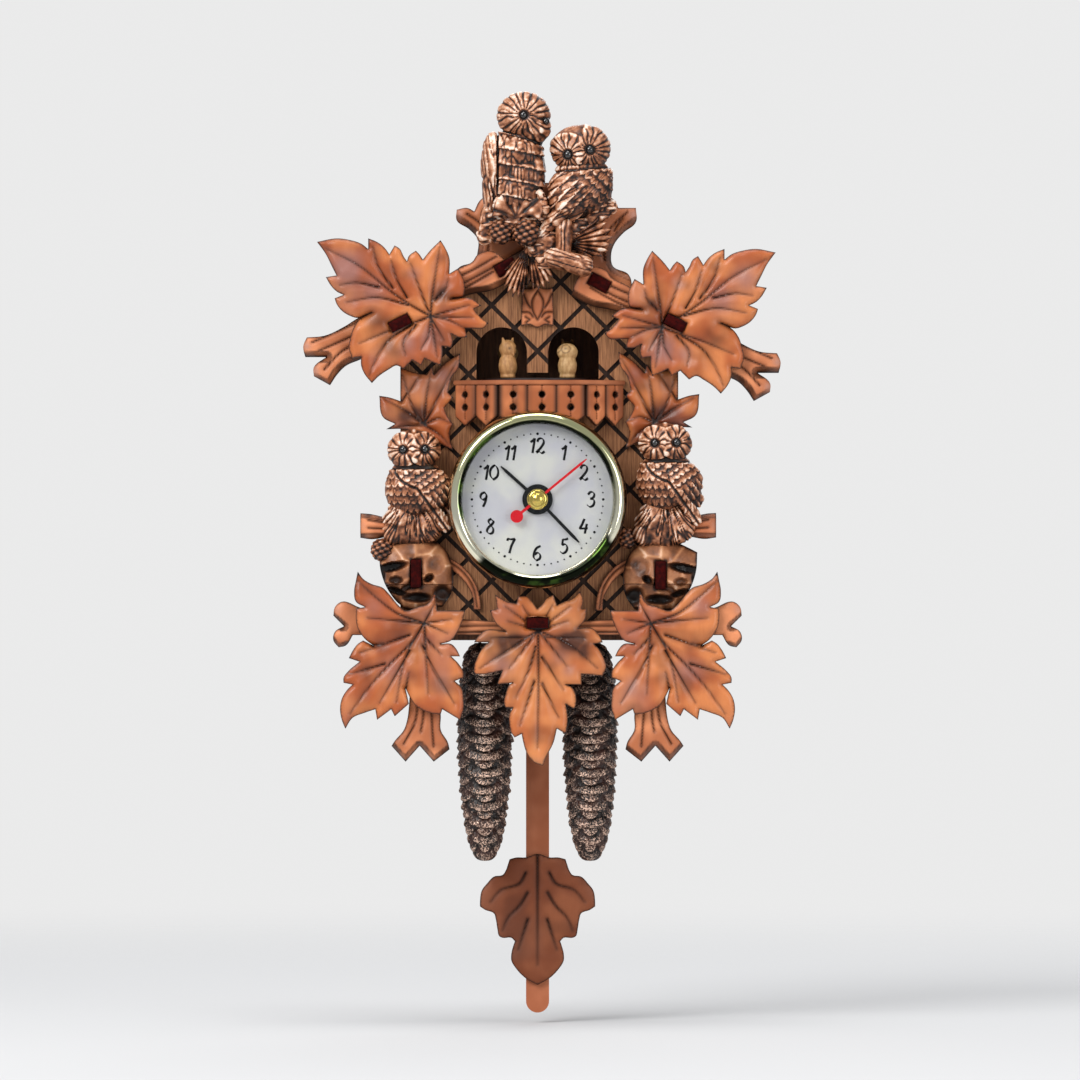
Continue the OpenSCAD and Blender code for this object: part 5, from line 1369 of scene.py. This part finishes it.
# one entry per pen stroke, in units of the digit's height, leaning as italic writing does
digitStrokes = {
    "0": [[(0.30, 0.98), (0.08, 0.72), (0.06, 0.3), (0.26, 0.02), (0.52, 0.25), (0.56, 0.7), (0.36, 0.98),
           (0.28, 0.97)]],
    "1": [[(0.04, 0.74), (0.2, 0.84), (0.34, 1.0)], [(0.34, 1.0), (0.26, 0.5), (0.18, 0.0)]],
    "2": [[(0.08, 0.76), (0.2, 0.97), (0.44, 0.96), (0.52, 0.74), (0.36, 0.42), (0.02, 0.04)],
          [(0.02, 0.04), (0.2, 0.1), (0.38, 0.0), (0.58, 0.12)]],
    "3": [[(0.1, 0.82), (0.28, 1.0), (0.5, 0.9), (0.46, 0.64), (0.24, 0.54)],
          [(0.24, 0.54), (0.48, 0.46), (0.48, 0.16), (0.24, 0.0), (0.02, 0.14)]],
    "4": [[(0.34, 1.0), (0.18, 0.62), (0.02, 0.34), (0.56, 0.36)], [(0.5, 0.66), (0.42, 0.3), (0.36, 0.0)]],
    "5": [[(0.22, 0.96), (0.16, 0.56), (0.38, 0.6), (0.5, 0.4), (0.42, 0.12), (0.2, 0.0), (0.02, 0.12)],
          [(0.22, 0.95), (0.38, 0.93), (0.56, 1.0)]],
    "6": [[(0.52, 0.98), (0.26, 0.84), (0.08, 0.5), (0.06, 0.2), (0.24, 0.0), (0.46, 0.14), (0.48, 0.38),
           (0.32, 0.52), (0.12, 0.4)]],
    "7": [[(0.08, 0.84), (0.14, 0.96), (0.34, 0.94), (0.6, 0.98)], [(0.6, 0.98), (0.36, 0.5), (0.22, 0.0)]],
    "8": [[(0.46, 0.82), (0.3, 1.0), (0.14, 0.84), (0.26, 0.6), (0.44, 0.36), (0.42, 0.08), (0.22, 0.0),
           (0.04, 0.16), (0.14, 0.42), (0.36, 0.62), (0.48, 0.84), (0.44, 0.88)]],
    "9": [[(0.5, 0.78), (0.36, 0.98), (0.14, 0.86), (0.1, 0.6), (0.26, 0.46), (0.46, 0.6), (0.5, 0.78)],
          [(0.5, 0.78), (0.42, 0.36), (0.26, 0.0)]],
}
printing = {"height": 4.2, "radius": 15.2, "thick": 0.72, "thin": 0.24, "nib": 40, "y": -42.36,
            "dotRing": 18.6, "hourDot": 0.38, "minuteDot": 0.23, "film": 0.04}


def ribbon(lines, x, z, height):  # flat pen strokes, thick or thin by their direction
    points, faces = [], []
    for pen in lines:
        line = flow([(x + a * height, z + b * height) for a, b in pen], 0.12, False, 75)
        gap = np.gradient(line, axis=0)
        gap /= np.maximum(np.linalg.norm(gap, axis=1), 1e-6)[:, None]
        lean = math.radians(printing["nib"])
        across = np.abs(gap[:, 0] * math.sin(lean) + gap[:, 1] * math.cos(lean))
        half = (printing["thin"] + (printing["thick"] - printing["thin"]) * across) / 2
        side = np.c_[-gap[:, 1], gap[:, 0]] * half[:, None]
        start = len(points)
        for a, b in zip(line + side, line - side):
            points += [(a[0], printing["y"], a[1]), (b[0], printing["y"], b[1])]
        faces += [(start + 2 * i + 1, start + 2 * i + 3, start + 2 * i + 2, start + 2 * i)
                  for i in range(len(line) - 1)]
    return points, faces


def addPrint():
    points, faces = [], []

    def join(made):
        start = len(points)
        points.extend(made[0])
        faces.extend([tuple(k + start for k in face) for face in made[1]])
    for hour in range(1, 13):
        angle = math.radians(30 * hour)
        x, z = printing["radius"] * math.sin(angle), dialZ + printing["radius"] * math.cos(angle)
        digits = str(hour)
        tall = printing["height"]
        widths = [0.42 if d == "1" else 0.62 for d in digits]
        left = x - tall * sum(widths) / 2
        for digit, wide in zip(digits, widths):
            join(ribbon(digitStrokes[digit], left, z - tall / 2, tall))
            left += wide * tall
    for minute in range(60):
        angle = math.radians(6 * minute)
        size = printing["minuteDot" if minute % 5 else "hourDot"]
        x, z = printing["dotRing"] * math.sin(angle), dialZ + printing["dotRing"] * math.cos(angle)
        join(([(a, printing["y"], b) for a, b in ringOf(x, z, size, 12)], [tuple(range(12))]))
    sheet = addPiece("dialPrint", "case", "ink", points, faces)
    thick = sheet.modifiers.new("thick", "SOLIDIFY")
    thick.thickness = printing["film"] * mm


addPrint()
print("dial ready")


# balcony fence and its rail
fence = {
    "bay": [(-23.0, -32.0), (-11.0, -39.6), (13.5, -39.6), (24.0, -32.0)],  # the face's corners, x and y
    "slats": (2, 3, 2),
    "top": -26.9, "foot": -35.8, "tips": -38.6, "thick": 1.4,
    "holes": (-29.7, -33.3), "holeRadius": 0.85,
    "dialRadius": 23.2,  # the slats end where the dial's drum begins
}
railing = {
    "outline": [(-24.0, -32.0), (-24.0, -33.0), (-11.5, -41.5), (14.0, -41.5), (25.0, -33.0), (25.0, -32.0),
                (24.2, -32.0), (13.6, -39.3), (-11.1, -39.3), (-23.2, -32.0)],
    "bottom": -26.95, "tall": 1.3, "bevel": 0.25, "toned": 0.35,
}


def addFence():
    bay = fence["bay"]
    shades = {"line": [], "burn": [], "plum": []}
    allPoints, allFaces = [], []
    for run, (start, end) in enumerate(zip(bay[:-1], bay[1:])):
        start, end = np.array(start), np.array(end)
        size = np.linalg.norm(end - start)
        along = (end - start) / size
        out = np.array([along[1], -along[0]])
        slats = fence["slats"][run]
        step = size / slats
        foot = []
        for i in range(slats):
            foot += [(i * step, fence["foot"]), ((i + 0.5) * step, fence["tips"])]
        foot.append((size, fence["foot"]))
        outline = flow([(size, fence["top"]), (0.0, fence["top"])] + foot, 0.6, True, 10)
        holes = [np.array(ringOf((i + 0.5) * step, z, fence["holeRadius"], 16)) for i in range(slats)
                 for z in fence["holes"]]
        gaps = [np.array([(i * step, -26.0), (i * step, -39.0)]) for i in range(slats + 1)]
        slits = [np.array([((i + 0.5) * step, -27.0), ((i + 0.5) * step, -36.9)]) for i in range(slats)]

        def shape(points, rim):
            gap, slit = nearest(points, gaps)[0], nearest(points, slits)[0]
            return (0.45 * np.exp(-(gap / 0.25) ** 2) + 0.4 * np.exp(-(slit / 0.2) ** 2)
                    + 0.3 * np.exp(-(rim / 0.35) ** 2))
        points, faces, flat, rim = plate([outline] + holes, fence["thick"], shape, 0.4)
        # the run's own depth, 0 at its face and thick at its back, turned into place
        base = start + out * fence["thick"]
        place = base[None] + points[:, :1] * along[None] - points[:, 1:2] * out[None]
        made = np.c_[place, points[:, 2]]
        gap, slit = nearest(flat, gaps)[0], nearest(flat, slits)[0]
        stripe = fuzz(np.c_[flat[:, 0] / 1.6, flat[:, 1] / 60], 1, 5 + run)
        number = np.floor(flat[:, 0] / step)
        shade = np.sin(number * 2.3 + run * 1.7) * 0.3
        line = np.maximum(np.exp(-(gap / 0.18) ** 2), 0.8 * np.exp(-(slit / 0.12) ** 2))
        line = np.maximum(line, 1 - ease(rim, 0.05, 0.25))
        half = np.abs(flat[:, 0] / step - number - 0.5)
        dark = np.clip(0.05 + 0.6 * ease(half, 0.25, 0.5) + 0.7 * stripe + shade, 0, 1)
        rest = np.ones(len(flat))
        shades["line"].append(np.r_[line, 0.2 * rest])
        shades["burn"].append(np.r_[dark, rest])
        shades["plum"].append(0 * np.r_[dark, rest])
        count = sum(len(part) for part in allPoints)
        allPoints.append(made)
        allFaces += [tuple(k + count for k in face) for face in faces]
    masks = {key: np.concatenate(values) for key, values in shades.items()}
    points = np.vstack(allPoints)
    low = np.hypot(points[:, 0], points[:, 2] - dialZ) < fence["dialRadius"]
    addPiece("fenceSlats", "case", "fenceWood", points,
             [f for f in allFaces if not all(low[k] for k in f)], ["balcony_fence"], masks)
    made = bmesh.new()
    verts = [made.verts.new(Vector((x, y, railing["bottom"])) * mm) for x, y in railing["outline"]]
    face = made.faces.new(verts)
    grown = bmesh.ops.extrude_face_region(made, geom=[face])
    bmesh.ops.translate(made, verts=[v for v in grown["geom"] if isinstance(v, bmesh.types.BMVert)],
                        vec=(0, 0, railing["tall"] * mm))
    bmesh.ops.recalc_face_normals(made, faces=made.faces)
    bmesh.ops.bevel(made, geom=list(made.edges), offset=railing["bevel"] * mm, segments=2, affect="EDGES")
    mesh = bpy.data.meshes.new("rail")
    made.to_mesh(mesh)
    made.free()
    points = np.array([v.co[:] for v in mesh.vertices]) / mm
    addPiece("fenceRail", "case", "fenceWood", points,
             [tuple(f.vertices) for f in mesh.polygons], [],
             {"line": np.zeros(len(points)), "burn": np.full(len(points), railing["toned"]),
              "plum": np.zeros(len(points))})


addFence()


# the four figures of the carousel
carousel = {"ring": 12, "axisY": -23.6, "start": -45}
figureBeak = ((0, -2.0, -17.4), 0.5, (0, -2.5, -18.6), 0.25)
figureShapes = {
    "tall": {"lumps": [((0, 0, -21.4), (5.2, 4.6, 8.0)), ((0, 0, -16.6), (5.0, 4.4, 5.2)),
                       ((0, 0, -24.5), (4.4, 4.2, 1.6))],
             "limbs": [((-1.6, 0, -15.0), 0.7, (-2.0, 0, -13.6), 0.35),
                       ((1.6, 0, -15.0), 0.7, (2.0, 0, -13.6), 0.35), figureBeak]},
    "round": {"lumps": [((0, 0, -21.6), (5.4, 4.8, 7.4)), ((0, 0, -17.6), (6.0, 4.6, 5.2)),
                        ((0, 0, -24.5), (4.6, 4.4, 1.6))],
              "limbs": [figureBeak]},
}


def addFigure(index):
    angle = math.radians(carousel["start"] + 90 * index)
    x, y = carousel["ring"] * math.sin(angle), carousel["axisY"] - carousel["ring"] * math.cos(angle)
    tall = index % 2 == 0
    shape = figureShapes["tall" if tall else "round"]
    c, s = math.cos(angle), math.sin(angle)

    def place(p):
        return (x + p[0] * c + p[1] * s, y + p[1] * c - p[0] * s, p[2])
    lumps = [(place(centre), size) for centre, size in shape["lumps"]]
    limbs = [(place(a), sizeA, place(b), sizeB) for a, sizeA, b, sizeB in shape["limbs"]]

    def carve(points, normal):
        down = scales(-points[:, 2], points[:, 0], 1.6, 1.3)
        return 0.10 * (down - 0.5) * (points[:, 2] < -18.8) + 0.03 * fuzz(points, 0.8, index)
    piece = lumpPiece("figure_%d" % index, "carousel", "figure_wood",
                      "figureTan" if tall else "figureCream",
                      ["dancer_owls"] if index == 0 else [], lumps, limbs, carve, 50, 0.22, 4)
    pupils = [place((-1.25, -2.0, -16.5)), place((1.25, -2.0, -16.5))]
    skin = np.array([v.co[:] for v in piece.data.vertices]) / mm
    mark = np.zeros(len(skin))
    for centre in pupils:
        away = np.linalg.norm(skin - np.array(centre), axis=1)
        mark = np.maximum(mark, np.exp(-(away / 0.42) ** 2))
        if not tall:
            mark = np.maximum(mark, 0.6 * np.exp(-((away - 1.35) / 0.18) ** 2))
    piece.data.attributes.new("line", "FLOAT", "POINT").data.foreach_set("value", mark.astype(np.float32))


for index in range(4):
    addFigure(index)
print("balcony ready")

# finishes for the CAD nodes that show as they are
carried = {
    "walnut": ["front_panel"],
    "caseBoard": ["back_panel", "side_panel_left", "side_panel_right", "bottom_panel", "roof_panel_left",
                  "roof_panel_right", "carousel_shelf", "dial_drum"],
    "steel": ["back_screws", "weight_pins", "shaft_nut", "movement_plate", "carousel_motor",
              "pendulum_hanger"],
    "fenceWood": ["balcony_floor"],
    "darkWood": ["turntable"],
    "brass": ["motor_pinion", "cannon_pinion"],
    "dialSilver": ["dial"],
    "lensGlass": ["lens"],
    "handBlack": ["hour_hand", "minute_hand"],
    "handRed": ["second_hand"],
    "blackPlastic": ["movement_housing", "movement_cover", "set_knob"],
    "gearPlastic": ["hour_wheel", "motion_wheel", "second_wheel"],
    "battery": ["aa_battery"],
    "rodWoodPaintedLight": ["pendulum_rod"],
}
for finish, names in carried.items():
    for name in names:
        dress(nodes[name], finish)
